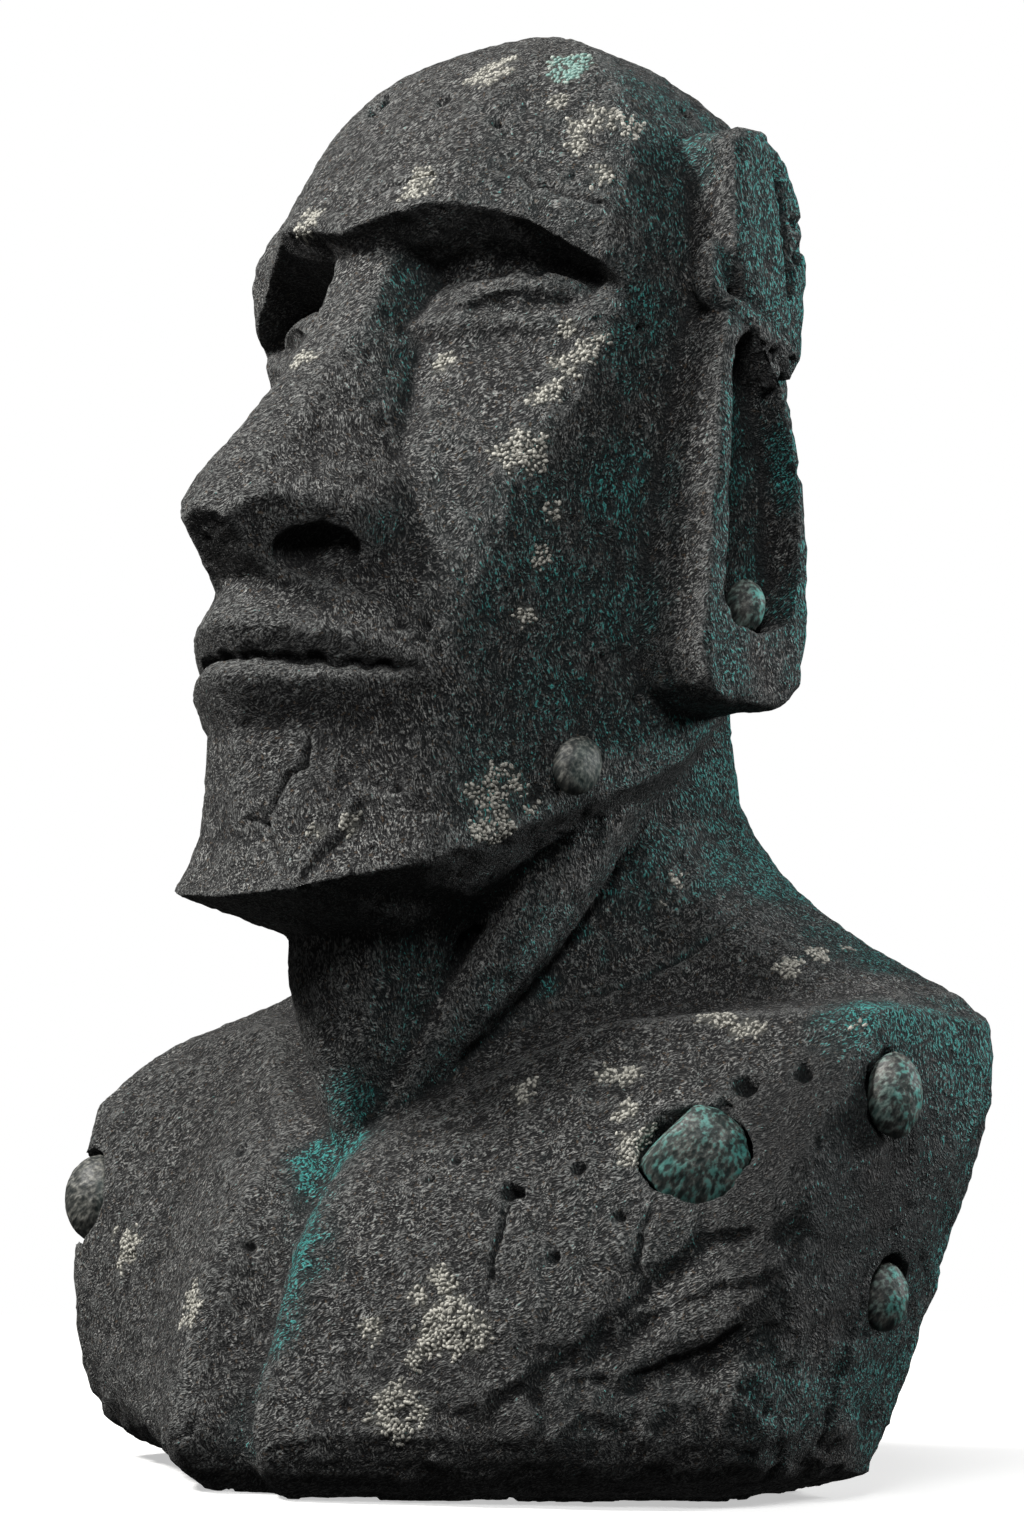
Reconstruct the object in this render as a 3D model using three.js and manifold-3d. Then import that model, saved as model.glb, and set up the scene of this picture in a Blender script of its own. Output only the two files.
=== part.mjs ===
// A moai bust: head, neck and chest of an Easter Island ancestor figure, carved from one block of
// dark stone and cut off flat below the chest. Rounded cobbles that were caught in the rock when it
// formed sit in their own sockets. Millimetres, +Z up. The figure looks along -Y, its own left side
// is +X, and the origin is on the flat underside, below the neck. "Forward" means -Y throughout.

import * as THREE from "three";
import { LoftGeometry } from "three/addons/geometries/LoftGeometry.js";
import { mergeVertices } from "three/addons/utils/BufferGeometryUtils.js";
import Module from "manifold-3d";

const wasm = await Module();
wasm.setup();

// ---------------------------------------------------------------- driving dimensions

const GROOVE_HALF = 60; // half the distance between the two ridges beside the chest groove
const JAW_LINE = [ // forward, height: the lower edge of the jaw, from the back of the head to the chin
  [-190, 830],
  [-34, 705],
  [83, 622],
  [230, 580],
  [292, 562],
  [372, 543],
  [395, 534],
];
const CHIN = JAW_LINE.at(-1)[1];
const EVEN_FROM = 950; // the height from which the head's levels no longer follow the jaw line
const BROW_EDGE = [ // distance from the midline, height: the lower edge of the overhanging brow
  [0, 1141],
  [60, 1155],
  [120, 1160],
  [190, 1138],
  [268, 1076],
];
const BROW_FRONT = [[0, 250], [90, 240], [265, 125], [290, 100]]; // from the midline, forward
const HOLLOW_DEPTH = [[0, 66], [70, 64], [200, 46], [268, 0], [290, -10]]; // how deep the eyes lie
const EYE = { out: 146, forward: 146, height: 1077, half: 80, turn: 0.56 };
const MOUTH = { half: 162, front: 372, round: 46, corner: 271, height: 753, droop: 17, droopRight: 32 };
const SOCKET_GAP = 5; // clear space round a cobble's face
const TOUCH_GAP = 1; // clear space behind a cobble, where it beds in the rock
const CORNER_STEPS = 3;
const SMALLEST_STEP = 0.8; // faces closer than this to a straight run are merged
const FAR = 900; // larger than any part of the bust

// ---------------------------------------------------------------- small helpers

/** A point given by its distance left of the midline, forward of the neck and above the ground. */
const at = (left, forward, height) => new THREE.Vector3(left, -forward, height);

/** The value at x on a line through [x, value] pairs, held level past its ends. */
function along(pairs, x) {
  const last = pairs.at(-1);
  if (x <= pairs[0][0]) return pairs[0][1];
  if (x >= last[0]) return last[1];
  const i = pairs.findIndex(([edge]) => edge > x);
  const [[x0, y0], [x1, y1]] = [pairs[i - 1], pairs[i]];
  return y0 + ((y1 - y0) * (x - x0)) / (x1 - x0);
}

/** Whole numbers from 0 up to and including count. */
const upTo = (count) => Array.from({ length: count + 1 }, (_, i) => i);

/** Corners from the front over the left side to the back, with their mirror images added. */
const bothSides = (half) => [
  ...half,
  ...half.slice(1, -1).reverse().map((p) => new THREE.Vector3(-p.x, p.y, p.z)),
];

/** A closed ring through the given corners, each of them rounded. */
function ring(corners, soft) {
  return corners.flatMap((p, i) => {
    const start = p.clone().lerp(corners.at(i - 1), soft);
    const end = p.clone().lerp(corners[(i + 1) % corners.length], soft);
    return new THREE.QuadraticBezierCurve3(start, p, end).getPoints(CORNER_STEPS);
  });
}

/** Rings that pass smoothly from level to level; a level is the list of its corners. */
function ringsThrough(levels, stepsBetween, soft) {
  const rails = levels[0].map(
    (_, c) => new THREE.CatmullRomCurve3(levels.map((level) => level[c]), false, "centripetal"),
  );
  const count = (levels.length - 1) * stepsBetween;
  return upTo(count).map((k) => ring(rails.map((rail) => rail.getPoint(k / count)), soft));
}

/** A three.js geometry, placed by a matrix, as a solid that can be joined and cut. */
function solid(geometry, matrix = new THREE.Matrix4()) {
  const bare = new THREE.BufferGeometry().copy(geometry).applyMatrix4(matrix);
  bare.deleteAttribute("normal");
  bare.deleteAttribute("uv");
  const merged = mergeVertices(bare, 1e-3);
  const faces = new Uint32Array(merged.index.array);
  const build = () => new wasm.Manifold(
    new wasm.Mesh({ numProp: 3, vertProperties: merged.attributes.position.array, triVerts: faces }),
  );
  const made = build();
  if (made.volume() > 0) return made;
  for (let i = 0; i < faces.length; i += 3) [faces[i], faces[i + 1]] = [faces[i + 1], faces[i]];
  return build();
}

/** The solid skinned over a row of sections, closed at both ends. */
const loft = (sections) => solid(new LoftGeometry(sections, { capStart: true, capEnd: true }));

/** A matrix that turns a shape about its own X, Y and Z axes and then moves it to a place. */
const placed = (place, turn = [0, 0, 0]) =>
  new THREE.Matrix4().makeRotationFromEuler(new THREE.Euler(...turn)).setPosition(place);

/** A matrix that lays a shape's XY plane square to a direction, X level, and moves it to a place. */
function facing(place, outwards) {
  const level = new THREE.Vector3(0, 0, 1).cross(outwards).normalize();
  const rise = outwards.clone().cross(level);
  return new THREE.Matrix4().makeBasis(level, rise, outwards).setPosition(place);
}

/** An ellipsoid with the given half sizes along X, Y and Z before it is turned. */
function ellipsoid(place, radii, turn, across = 14, down = 8) {
  return solid(new THREE.SphereGeometry(1, across, down).scale(...radii), placed(place, turn));
}

/** A box with the given sizes, turned and placed by its centre. */
const block = (place, size, turn) => solid(new THREE.BoxGeometry(...size), placed(place, turn));

/** The same solid on the figure's other side. */
const mirrored = (shape) => shape.mirror([1, 0, 0]);

/** Several solids joined into one. */
const joined = (shapes) => shapes.reduce((all, shape) => all.add(shape));

// ---------------------------------------------------------------- chest and neck

/** The chest, from the flat underside to the neck: a groove runs down between two breast ridges. */
function chest() {
  // Below the collar edge, from front to back: groove, ridge, breast, arm corner, rear corner, back.
  // The right arm swells further forward than the left one, and its shoulder hangs lower.
  const level = (height, ridge, depth, breast, corner, rear, back, swell) => {
    const half = [
      at(0, ridge - depth, height),
      at(GROOVE_HALF, ridge, height),
      at(...breast),
      at(...corner),
      at(...rear),
      at(0, ...back),
    ];
    const corners = bothSides(half);
    corners.at(-3).add(at(...swell));
    return corners;
  };
  const lower = ringsThrough([
    level(0, 350, 30, [220, 200, 0], [300, 70, 0], [290, -48, 0], [-140, 0], [-70, 50, 0]),
    level(24, 384, 42, [245, 258, 24], [404, 126, 24], [398, -52, 24], [-160, 24], [-24, 44, 0]),
    level(60, 396, 48, [248, 286, 60], [434, 142, 60], [428, -60, 60], [-172, 60], [-18, 52, 0]),
    level(130, 376, 48, [250, 276, 130], [450, 150, 130], [456, -72, 130], [-185, 130], [-14, 62, 0]),
    level(220, 345, 48, [250, 250, 228], [464, 138, 228], [472, -95, 228], [-200, 230], [-6, 72, 0]),
    level(290, 292, 38, [250, 196, 345], [480, 80, 352], [481, -126, 350], [-208, 340], [4, 100, -10]),
    level(326, 244, 12, [240, 138, 424], [478, 18, 436], [468, -136, 420], [-208, 425], [24, 84, -34]),
  ], 2, 0.12);
  const slope = (pit, collar, breast, corner, rear, back) => bothSides([
    at(0, ...pit),
    at(...collar),
    at(...breast),
    at(...corner),
    at(...rear),
    at(0, ...back),
  ]);
  const upper = ringsThrough([
    slope([228, 330], [66, 214, 350], [222, 104, 426], [434, -14, 448], [442, -128, 448], [-202, 490]),
    slope([216, 366], [76, 188, 384], [194, 84, 450], [330, -4, 482], [330, -124, 496], [-192, 560]),
    slope([205, 430], [84, 166, 450], [150, 84, 505], [234, 0, 542], [230, -120, 556], [-176, 622]),
    slope([196, 525], [84, 152, 540], [132, 88, 580], [184, 14, 612], [180, -110, 622], [-160, 680]),
    slope([195, 700], [84, 150, 720], [128, 90, 735], [170, 18, 760], [166, -106, 770], [-152, 790]),
  ], 2, 0.25);
  return loft([...lower, ...upper]);
}

/** The throat's round column, which narrows down to the pit between the collar ridges. */
function throat() {
  const levels = [
    [306, 24, 36, 212],
    [340, 40, 48, 206],
    [400, 66, 62, 208],
    [455, 82, 70, 210],
    [520, 92, 76, 200],
    [600, 96, 72, 180],
  ];
  return loft(levels.map(([height, wide, deep, forward]) => upTo(15).map((i) => {
    const angle = (i / 16) * 2 * Math.PI;
    return at(wide * Math.cos(angle), forward - deep * Math.sin(angle), height);
  })));
}

/** The long muscle that runs from behind the jaw down to the pit of the neck, on the left. */
function neckMuscle() {
  const line = new THREE.CatmullRomCurve3([
    at(150, 20, 720), at(146, 80, 600), at(112, 140, 480), at(66, 190, 390), at(28, 214, 322),
  ]);
  return loft(upTo(8).map((k) => {
    const centre = line.getPoint(k / 8);
    const radius = THREE.MathUtils.lerp(62, 22, k / 8);
    return upTo(9).map((i) => {
      const angle = (i / 10) * 2 * Math.PI;
      return centre.clone().add(at(radius * Math.cos(angle), radius * Math.sin(angle), 0));
    });
  }));
}

// ---------------------------------------------------------------- head

/** The head without nose, lips and ears: a long slab with a wedge-shaped muzzle and a flat chin. */
function skull() {
  // Each level: height at the chin, middle of the front, muzzle corner, cheek edge and half-width by
  // the ears. The lowest level follows the jaw line, and they even out up to EVEN_FROM.
  const climb = (height, forward) => {
    if (height >= EVEN_FROM) return height;
    const share = (height - CHIN) / (EVEN_FROM - CHIN);
    return THREE.MathUtils.lerp(along(JAW_LINE, forward), EVEN_FROM, share);
  };
  const level = (height, front, muzzle, cheek, side, back = -190) => {
    const corner = (left, forward) => at(left, forward, climb(height, forward));
    return bothSides([
      corner(0, front),
      corner(...muzzle),
      corner(...cheek),
      corner(side, Math.min(40, cheek[1] - 14)),
      corner(side * 0.8, back * 0.74),
      corner(0, back),
    ]);
  };
  const rings = ringsThrough([
    level(CHIN, 396, [84, 380], [170, 292], 238),
    level(540, 390, [78, 374], [171, 290], 242),
    level(577, 370, [72, 355], [168, 278], 246),
    level(671, 372, [66, 352], [164, 268], 248),
    level(791, 360, [64, 340], [186, 236], 251),
    level(950, 262, [92, 256], [216, 188], 257),
    level(1045, 214, [84, 210], [252, 132], 261),
    level(1110, 250, [92, 240], [263, 134], 264),
    level(1165, 248, [98, 238], [262, 134], 263),
    level(1215, 218, [104, 208], [244, 114], 254, -176),
    level(1272, 176, [106, 166], [216, 96], 216, -132),
    level(1320, 128, [96, 118], [166, 80], 156, -76),
    level(1346, 88, [66, 80], [110, 54], 98, -40),
    level(1364, 40, [22, 36], [38, 22], 40, -14),
  ], 2, 0.2);
  const inNeck = ring(bothSides([
    at(0, 200, 480),
    at(70, 190, 486),
    at(120, 130, 540),
    at(150, 20, 600),
    at(140, -100, 700),
    at(0, -140, 720),
  ]), 0.2);
  return loft([inNeck, ...rings]);
}

/** What is cut away under the brow: a wedge whose upper face is the shaded underside of the brow. */
function browHollow() {
  const reach = 285;
  const steps = 22;
  return loft(upTo(steps).map((k) => {
    const left = THREE.MathUtils.lerp(-reach, reach, k / steps);
    const out = Math.abs(left);
    const face = along(BROW_FRONT, out);
    const deep = face - along(HOLLOW_DEPTH, out);
    const edge = along(BROW_EDGE, out);
    const cheek = along([[0, 1040], [70, 1046], [200, 1058], [268, 1070], [290, 1070]], out);
    return [
      at(left, face + 120, cheek - 40),
      at(left, face - 6, cheek),
      at(left, deep, THREE.MathUtils.lerp(cheek, edge, 0.5)),
      at(left, deep, THREE.MathUtils.lerp(cheek, edge, 0.66)),
      at(left, face, edge),
      at(left, face + 120, edge),
    ];
  }));
}

/** The left eye: a long almond of lids round a lowered eyeball. */
function eye() {
  const place = at(EYE.out, EYE.forward, EYE.height);
  const turn = [0, 0, EYE.turn];
  const half = EYE.half - 12;
  const almond = new THREE.Shape()
    .moveTo(-half, -6)
    .quadraticCurveTo(-12, 26, half, -4)
    .quadraticCurveTo(0, -20, -half, -6);
  const cut = { depth: 120, bevelEnabled: false, curveSegments: 10 };
  const opening = new THREE.ExtrudeGeometry(almond, cut).rotateX(Math.PI / 2);
  return ellipsoid(place, [EYE.half, 40, 30], turn, 16, 10)
    .subtract(solid(opening, placed(place, turn)))
    .add(ellipsoid(place, [EYE.half - 4, 31, 22], turn, 16, 8));
}

/** The long nose: a flat ridge that widens to the tip, with a cut-back underside and nostrils. */
function nose() {
  const level = (height, tip, ridge, base, lift = 0) => bothSides([
    at(0, tip, height),
    at(...ridge, height + lift * 0.3),
    at(...base, height + lift),
    at(base[0] - 12, 120, height + lift),
    at(0, 120, height),
  ]);
  const body = loft(ringsThrough([
    level(800, 410, [50, 380], [114, 290], 34),
    level(846, 418, [60, 390], [124, 292], 14),
    level(884, 420, [64, 394], [126, 291]),
    level(910, 408, [56, 386], [118, 279]),
    level(940, 380, [44, 366], [100, 262]),
    level(1000, 318, [36, 312], [82, 236]),
    level(1070, 260, [38, 255], [66, 200]),
    level(1160, 214, [46, 208], [62, 160]),
  ], 2, 0.28));
  const underside = block(at(0, 503, 754), [FAR, 300, 300], [-0.904, 0, 0]);
  // Under each wing the nose is cut back along a face that looks out, forward and down.
  const outwards = at(0.7, 0.61, -0.375).normalize();
  const wingEdge = at(65, 382, 893).addScaledVector(outwards, 100);
  const underWing = solid(new THREE.BoxGeometry(300, 300, 200), facing(wingEdge, outwards));
  const hole = new THREE.SphereGeometry(1, 16, 8).scale(42, 25, 30);
  const nostril = solid(hole, facing(at(76, 338, 845), outwards));
  const half = joined([underWing, nostril]);
  return body.subtract(underside).subtract(half).subtract(mirrored(half));
}

/** One lip: a band that follows the muzzle, drooping and fading out towards the corners. */
function lip(sections) {
  const plan = new THREE.QuadraticBezierCurve(
    new THREE.Vector2(0, MOUTH.front),
    new THREE.Vector2(MOUTH.round, MOUTH.front),
    new THREE.Vector2(MOUTH.half, MOUTH.corner),
  );
  const steps = 9;
  const stations = upTo(2 * steps).map((k) => k / steps - 1);
  return loft(stations.map((t) => {
    const { x, y: face } = plan.getPoint(Math.abs(t));
    const full = Math.sqrt(Math.max(0.02, 1 - t ** 4));
    const middle = MOUTH.height - (t < 0 ? MOUTH.droopRight : MOUTH.droop) * t ** 2;
    return sections.map(([proud, rise]) =>
      at(Math.sign(t) * x, face + (proud > 0 ? proud * full : proud), middle + rise * full));
  }));
}

/** The pressed lips: each runs out from the muzzle to a sharp edge, then in to the parting. */
function lips() {
  const upper = lip([[-30, 80], [-5, 74], [5, 56], [23, 33], [21, 26], [10, 2], [-30, 1]]);
  const lower = lip([[-30, -1], [10, -2], [24, -15], [20, -25], [9, -46], [-4, -70], [-30, -76]]);
  return upper.add(lower);
}

/** The left ear: an upper block, a knob, and a long lobe hollowed out on its outer face. */
function ear() {
  const slab = (outline, from, to, bevel) => {
    const shape = new THREE.Shape(outline.map(([forward, height]) => new THREE.Vector2(-forward, height)));
    const geometry = new THREE.ExtrudeGeometry(shape, {
      depth: to - from - bevel, bevelThickness: bevel, bevelSize: bevel, bevelOffset: -bevel, bevelSegments: 2,
    });
    // The outline lies in XY and rises along Z: turn it to stand in the YZ plane and rise along X.
    const stand = new THREE.Matrix4().makeBasis(
      new THREE.Vector3(0, 1, 0), new THREE.Vector3(0, 0, 1), new THREE.Vector3(1, 0, 0),
    ).setPosition(from, 0, 0);
    return solid(geometry, stand);
  };
  const lobe = slab([
    [92, 756], [86, 726], [66, 708], [-8, 704], [-32, 724], [-44, 780], [-46, 850], [-36, 930],
    [-18, 1000], [0, 1060], [52, 1080], [64, 1040],
  ], 215, 322, 9);
  const upper = slab([
    [52, 1222], [36, 1236], [8, 1234], [-22, 1210], [-40, 1165], [-47, 1100], [-42, 1024], [-28, 1004],
    [10, 1050], [40, 1085], [54, 1120],
  ], 205, 324, 14);
  const slot = slab([
    [64, 800], [52, 782], [20, 772], [-14, 784], [-28, 830], [-24, 920], [-4, 1000], [26, 1046], [50, 1036],
  ], 282, 420, 6);
  const knob = ellipsoid(at(295, 58, 1100), [19, 16, 36], [0, 0, 0.3], 7, 6);
  return lobe.subtract(slot).add(upper).add(knob);
}

// ---------------------------------------------------------------- weather and damage

/** The scar of one flake that split away below a line: deepest at the line, running out below it. */
function flakeScar(line, depth, reach) {
  const outwards = at(0.42, 0.83, 0.37).normalize();
  const downwards = line.at(-1).clone().sub(line[0]).cross(outwards).normalize();
  return loft(line.map((p, i) => {
    const deep = i === 0 || i === line.length - 1 ? depth * 0.5 : depth;
    const below = p.clone().addScaledVector(downwards, reach);
    return [
      below.clone().addScaledVector(outwards, 60),
      below.clone().addScaledVector(outwards, 2),
      p.clone().addScaledVector(outwards, -deep),
      p.clone().addScaledVector(outwards, 60),
    ];
  }));
}

/** What frost and falls have broken from the lower left chest, and from the rear of the left arm. */
function breakage() {
  const rearOfArm = block(at(616, -141, 138), [400, FAR, FAR], [0, 0.345, 0.363]);
  return joined([
    rearOfArm,
    flakeScar([at(313, 236, 150), at(356, 201, 198), at(395, 173, 237), at(452, 136, 250)], 15, 70),
    flakeScar([at(335, 223, 118), at(391, 186, 136), at(419, 170, 153), at(452, 148, 166)], 20, 60),
    flakeScar([at(238, 290, 93), at(275, 262, 120), at(301, 243, 141), at(335, 218, 178)], 9, 60),
  ]);
}

// ---------------------------------------------------------------- cobbles

const TURQUOISE = 0x3f5a57;
const DARK = 0x3a3835;
const COBBLES = [
  { name: "chest", place: [362, 142, 300], radii: [52, 30, 50], turn: [0, 0.5, 0.53], colour: TURQUOISE },
  { name: "shoulder", place: [484, 20, 358], radii: [26, 25, 40], turn: [0, 0, 0.2], colour: TURQUOISE },
  { name: "arm_left", place: [452, 2, 182], radii: [24, 22, 33], turn: [0, 0, 0], colour: TURQUOISE },
  { name: "arm_right", place: [-440, 190, 252], radii: [42, 36, 46], turn: [0, 0, -0.4], colour: DARK },
  { name: "jaw", place: [226, 158, 652], radii: [20, 25, 30], turn: [-0.45, 0, 0], colour: DARK },
  { name: "ear", place: [292, 12, 800], radii: [22, 17, 27], turn: [0, 0, 0], colour: TURQUOISE },
];

/** A water-worn cobble: an ellipsoid, grown outwards all round by the given amount. */
function cobble({ place, radii, turn }, grow = 0, shift = new THREE.Vector3()) {
  return ellipsoid(at(...place).add(shift), radii.map((r) => r + grow), turn, 12, 8);
}

/** The socket that a cobble sits in: wider than the cobble in front, and close behind it. */
function socket(stone) {
  const outwards = at(stone.place[0], stone.place[1], 0).normalize();
  return cobble(stone, SOCKET_GAP, outwards.multiplyScalar(SOCKET_GAP - TOUCH_GAP));
}

// ---------------------------------------------------------------- assembly

/** The whole bust as one solid. */
function bust() {
  const face = skull().subtract(browHollow());
  const sides = [eye(), neckMuscle()];
  const rightEar = mirrored(ear()).translate([22, 34, 0]);
  const features = [...sides, ...sides.map(mirrored), ear(), rightEar];
  const whole = joined([chest(), throat(), face, nose(), lips(), ...features]);
  const carved = whole.subtract(breakage()).simplify(SMALLEST_STEP);
  return COBBLES.reduce((rest, stone) => rest.subtract(socket(stone)), carved);
}

/** A named three.js mesh from a solid. */
function mesh(name, shape, colour, roughness) {
  const { vertProperties, triVerts } = shape.getMesh();
  const geometry = new THREE.BufferGeometry()
    .setAttribute("position", new THREE.BufferAttribute(vertProperties, 3))
    .setIndex(new THREE.BufferAttribute(triVerts, 1));
  geometry.computeVertexNormals();
  const finish = new THREE.MeshStandardMaterial({ color: colour, roughness, metalness: 0 });
  const made = new THREE.Mesh(geometry, finish);
  made.name = name;
  return made;
}

const moai = new THREE.Group();
moai.name = "moai_bust";
moai.add(mesh("bust", bust(), 0x2b2b2c, 0.92));
for (const stone of COBBLES) {
  moai.add(mesh(`cobble_${stone.name}`, cobble(stone), stone.colour, 0.6));
}

export default moai;
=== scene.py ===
"""Looks of a carved moai bust: hewn basalt, cobbles bedded in it, and lichen.

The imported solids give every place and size. The bust's solid is copied, rounded and worked
over with chisel strokes, pits, cracks and flaked steps, the cobbles are water-worn, and lichen
rosettes grow on the finished skin.
"""

import itertools
import logging
from dataclasses import dataclass, field
from enum import Enum
from math import cos, pi, radians, sin
from typing import Any, Iterable, Mapping, Sequence

import bmesh
import bpy
import numpy as np
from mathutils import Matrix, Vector


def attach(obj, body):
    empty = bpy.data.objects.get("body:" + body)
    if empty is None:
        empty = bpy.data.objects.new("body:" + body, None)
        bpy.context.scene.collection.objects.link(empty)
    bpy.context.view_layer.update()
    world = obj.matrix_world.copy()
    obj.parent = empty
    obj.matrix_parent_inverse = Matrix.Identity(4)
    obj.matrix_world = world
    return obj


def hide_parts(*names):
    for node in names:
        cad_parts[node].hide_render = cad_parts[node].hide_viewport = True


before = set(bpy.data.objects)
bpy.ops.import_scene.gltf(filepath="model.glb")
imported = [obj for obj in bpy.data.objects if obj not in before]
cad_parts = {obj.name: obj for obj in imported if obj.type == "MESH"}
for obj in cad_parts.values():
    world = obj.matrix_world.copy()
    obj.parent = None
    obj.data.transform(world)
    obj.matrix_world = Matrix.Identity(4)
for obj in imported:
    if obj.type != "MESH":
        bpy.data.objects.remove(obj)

log = logging.getLogger("moai")

MM = 0.001

Spot = tuple[float, float, float]


def spot(place: Spot) -> np.ndarray:
    """A point given as millimetres left, forward and up, in the frame of the part in metres."""
    left, forward, height = place
    return np.array([left, -forward, height]) * MM


def pointed(way: Spot) -> np.ndarray:
    """A direction given left, forward and up, as a vector of length 1."""
    return spot(way) / np.linalg.norm(spot(way))


def ease(value: np.ndarray, low: float, high: float) -> np.ndarray:
    """A smooth step from 0 at low to 1 at high.

    Args:
        value: What is measured.
        low: Where the step starts; it may lie above high, for a falling step.
        high: Where the step ends.

    Returns:
        The step, 0 to 1, for each value.
    """
    share = np.clip((value - low) / (high - low), 0.0, 1.0)
    return share * share * (3.0 - 2.0 * share)


def tone(code: str) -> tuple[float, float, float, float]:
    """The linear colour of an sRGB hex code.

    Args:
        code: The colour as #rrggbb.

    Returns:
        Red, green, blue and full alpha, as the shader takes them.
    """
    parts = [int(code[start : start + 2], 16) / 255.0 for start in (1, 3, 5)]
    linear = [c / 12.92 if c <= 0.04045 else ((c + 0.055) / 1.055) ** 2.4 for c in parts]
    return (linear[0], linear[1], linear[2], 1.0)


# --- noise ---


@dataclass(frozen=True)
class Noise:
    """Seeded noise in space, the same at every run."""

    seed: int = 1

    def _hashed(self, cell: np.ndarray) -> np.ndarray:
        """Hashes lattice cells.

        Args:
            cell: The cells' whole-number places, one a row.

        Returns:
            A whole number for each cell.
        """
        mask = 0xFFFFFFFF
        mixed = (cell[:, 0] * 73856093) ^ (cell[:, 1] * 19349663) ^ (cell[:, 2] * 83492791)
        mixed = (mixed ^ (self.seed * 668265263)) & mask
        mixed = ((mixed ^ (mixed >> 15)) * 0x2C1B3C6D) & mask
        mixed = ((mixed ^ (mixed >> 12)) * 0x297A2D39) & mask
        return mixed ^ (mixed >> 15)

    def _spread(self, mixed: np.ndarray) -> np.ndarray:
        """Three numbers from 0 to 1 for each hashed cell."""
        return np.stack([(mixed >> shift) & 1023 for shift in (0, 10, 20)], axis=1) / 1023.0

    def at(self, places: np.ndarray, size: float | Spot) -> np.ndarray:
        """Smooth noise, about -1 to 1.

        Args:
            places: Points in metres, one a row.
            size: The size of a lump in metres, or its size along x, y and z.

        Returns:
            One value for each point.
        """
        scaled = places / np.asarray(size)
        base = np.floor(scaled).astype(np.int64)
        part = scaled - base
        fade = part**3 * (part * (part * 6.0 - 15.0) + 10.0)
        total = np.zeros(len(places))
        for corner in itertools.product((0, 1), repeat=3):
            slope = self._spread(self._hashed(base + np.array(corner))) * 2.0 - 1.0
            weight = np.prod(np.where(np.array(corner) == 1, fade, 1.0 - fade), axis=1)
            total += weight * np.einsum("ij,ij->i", slope, part - np.array(corner))
        return total * 1.35

    def layers(self, places: np.ndarray, size: float | Spot, count: int) -> np.ndarray:
        """Sums noise over finer and finer lumps, each half the size and half the height.

        Args:
            places: Points in metres, one a row.
            size: The size of the largest lumps in metres, or their size along x, y and z.
            count: How many sizes are summed.

        Returns:
            One value for each point.
        """
        return sum(
            Noise(self.seed + level).at(places, np.asarray(size) / 2**level) / 2**level
            for level in range(count)
        )

    def ridges(self, places: np.ndarray, size: float | Spot, count: int = 2) -> np.ndarray:
        """Noise folded into sharp crests, 0 in the hollows to 1 on a crest."""
        return 1.0 - np.clip(np.abs(self.layers(places, size, count)) * 2.2, 0.0, 1.0)

    def facets(self, places: np.ndarray, size: float) -> np.ndarray:
        """Planes tilted at random, cell by cell, as a blunt tool leaves them.

        Args:
            places: Points in metres, one a row.
            size: The size of a facet in metres.

        Returns:
            The height of the facet's plane over its middle, about -1 to 1, flat at its edge.
        """
        scaled = places / size
        base = np.floor(scaled).astype(np.int64)
        near = np.full(len(places), 9.0)
        second = np.full(len(places), 9.0)
        height = np.zeros(len(places))
        for corner in itertools.product((-1, 0, 1), repeat=3):
            cell = base + np.array(corner)
            mixed = self._hashed(cell)
            offset = scaled - (cell + self._spread(mixed))
            gap = np.sqrt(np.einsum("ij,ij->i", offset, offset))
            tilt = self._spread(self._hashed(cell + 57)) * 2.0 - 1.0
            plane = np.einsum("ij,ij->i", offset, tilt)
            closer = gap < near
            second = np.where(closer, near, np.minimum(second, gap))
            height = np.where(closer, plane, height)
            near = np.where(closer, gap, near)
        return height * ease(second - near, 0.0, 0.12)


# --- meshes ---


def arrays(mesh: bpy.types.Mesh) -> tuple[np.ndarray, np.ndarray]:
    """Reads a mesh.

    Args:
        mesh: The mesh.

    Returns:
        Its vertex places and its vertex normals, one a row.
    """
    count = len(mesh.vertices)
    places = np.zeros(count * 3)
    normals = np.zeros(count * 3)
    mesh.vertices.foreach_get("co", places)
    mesh.vertex_normals.foreach_get("vector", normals)
    return places.reshape(-1, 3), normals.reshape(-1, 3)


def settle(mesh: bpy.types.Mesh, places: np.ndarray) -> None:
    """Puts the vertices of a mesh at new places."""
    mesh.vertices.foreach_set("co", places.ravel())
    mesh.update()


def relaxed(
    mesh: bpy.types.Mesh, places: np.ndarray, rounds: int, only: np.ndarray | None = None
) -> np.ndarray:
    """Vertex places drawn towards their neighbours, which wears edges and corners round.

    Args:
        mesh: Gives the edges.
        places: Where the vertices are.
        rounds: How often each vertex moves half way to the mean of its neighbours.
        only: How much of each move a vertex makes, 0 to 1, where not all of them make it.

    Returns:
        The new places.
    """
    edges = np.zeros(len(mesh.edges) * 2, np.int64)
    mesh.edges.foreach_get("vertices", edges)
    ends = edges.reshape(-1, 2)
    if only is not None:
        inside = np.flatnonzero(only > 0)
        ends = ends[(only[ends] > 0).all(axis=1)]
        local = np.searchsorted(inside, ends)
        worn = places.copy()
        worn[inside] = _drawn(local, places[inside], rounds, only[inside, None])
        return worn
    return _drawn(ends, places, rounds, np.ones(1))


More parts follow.
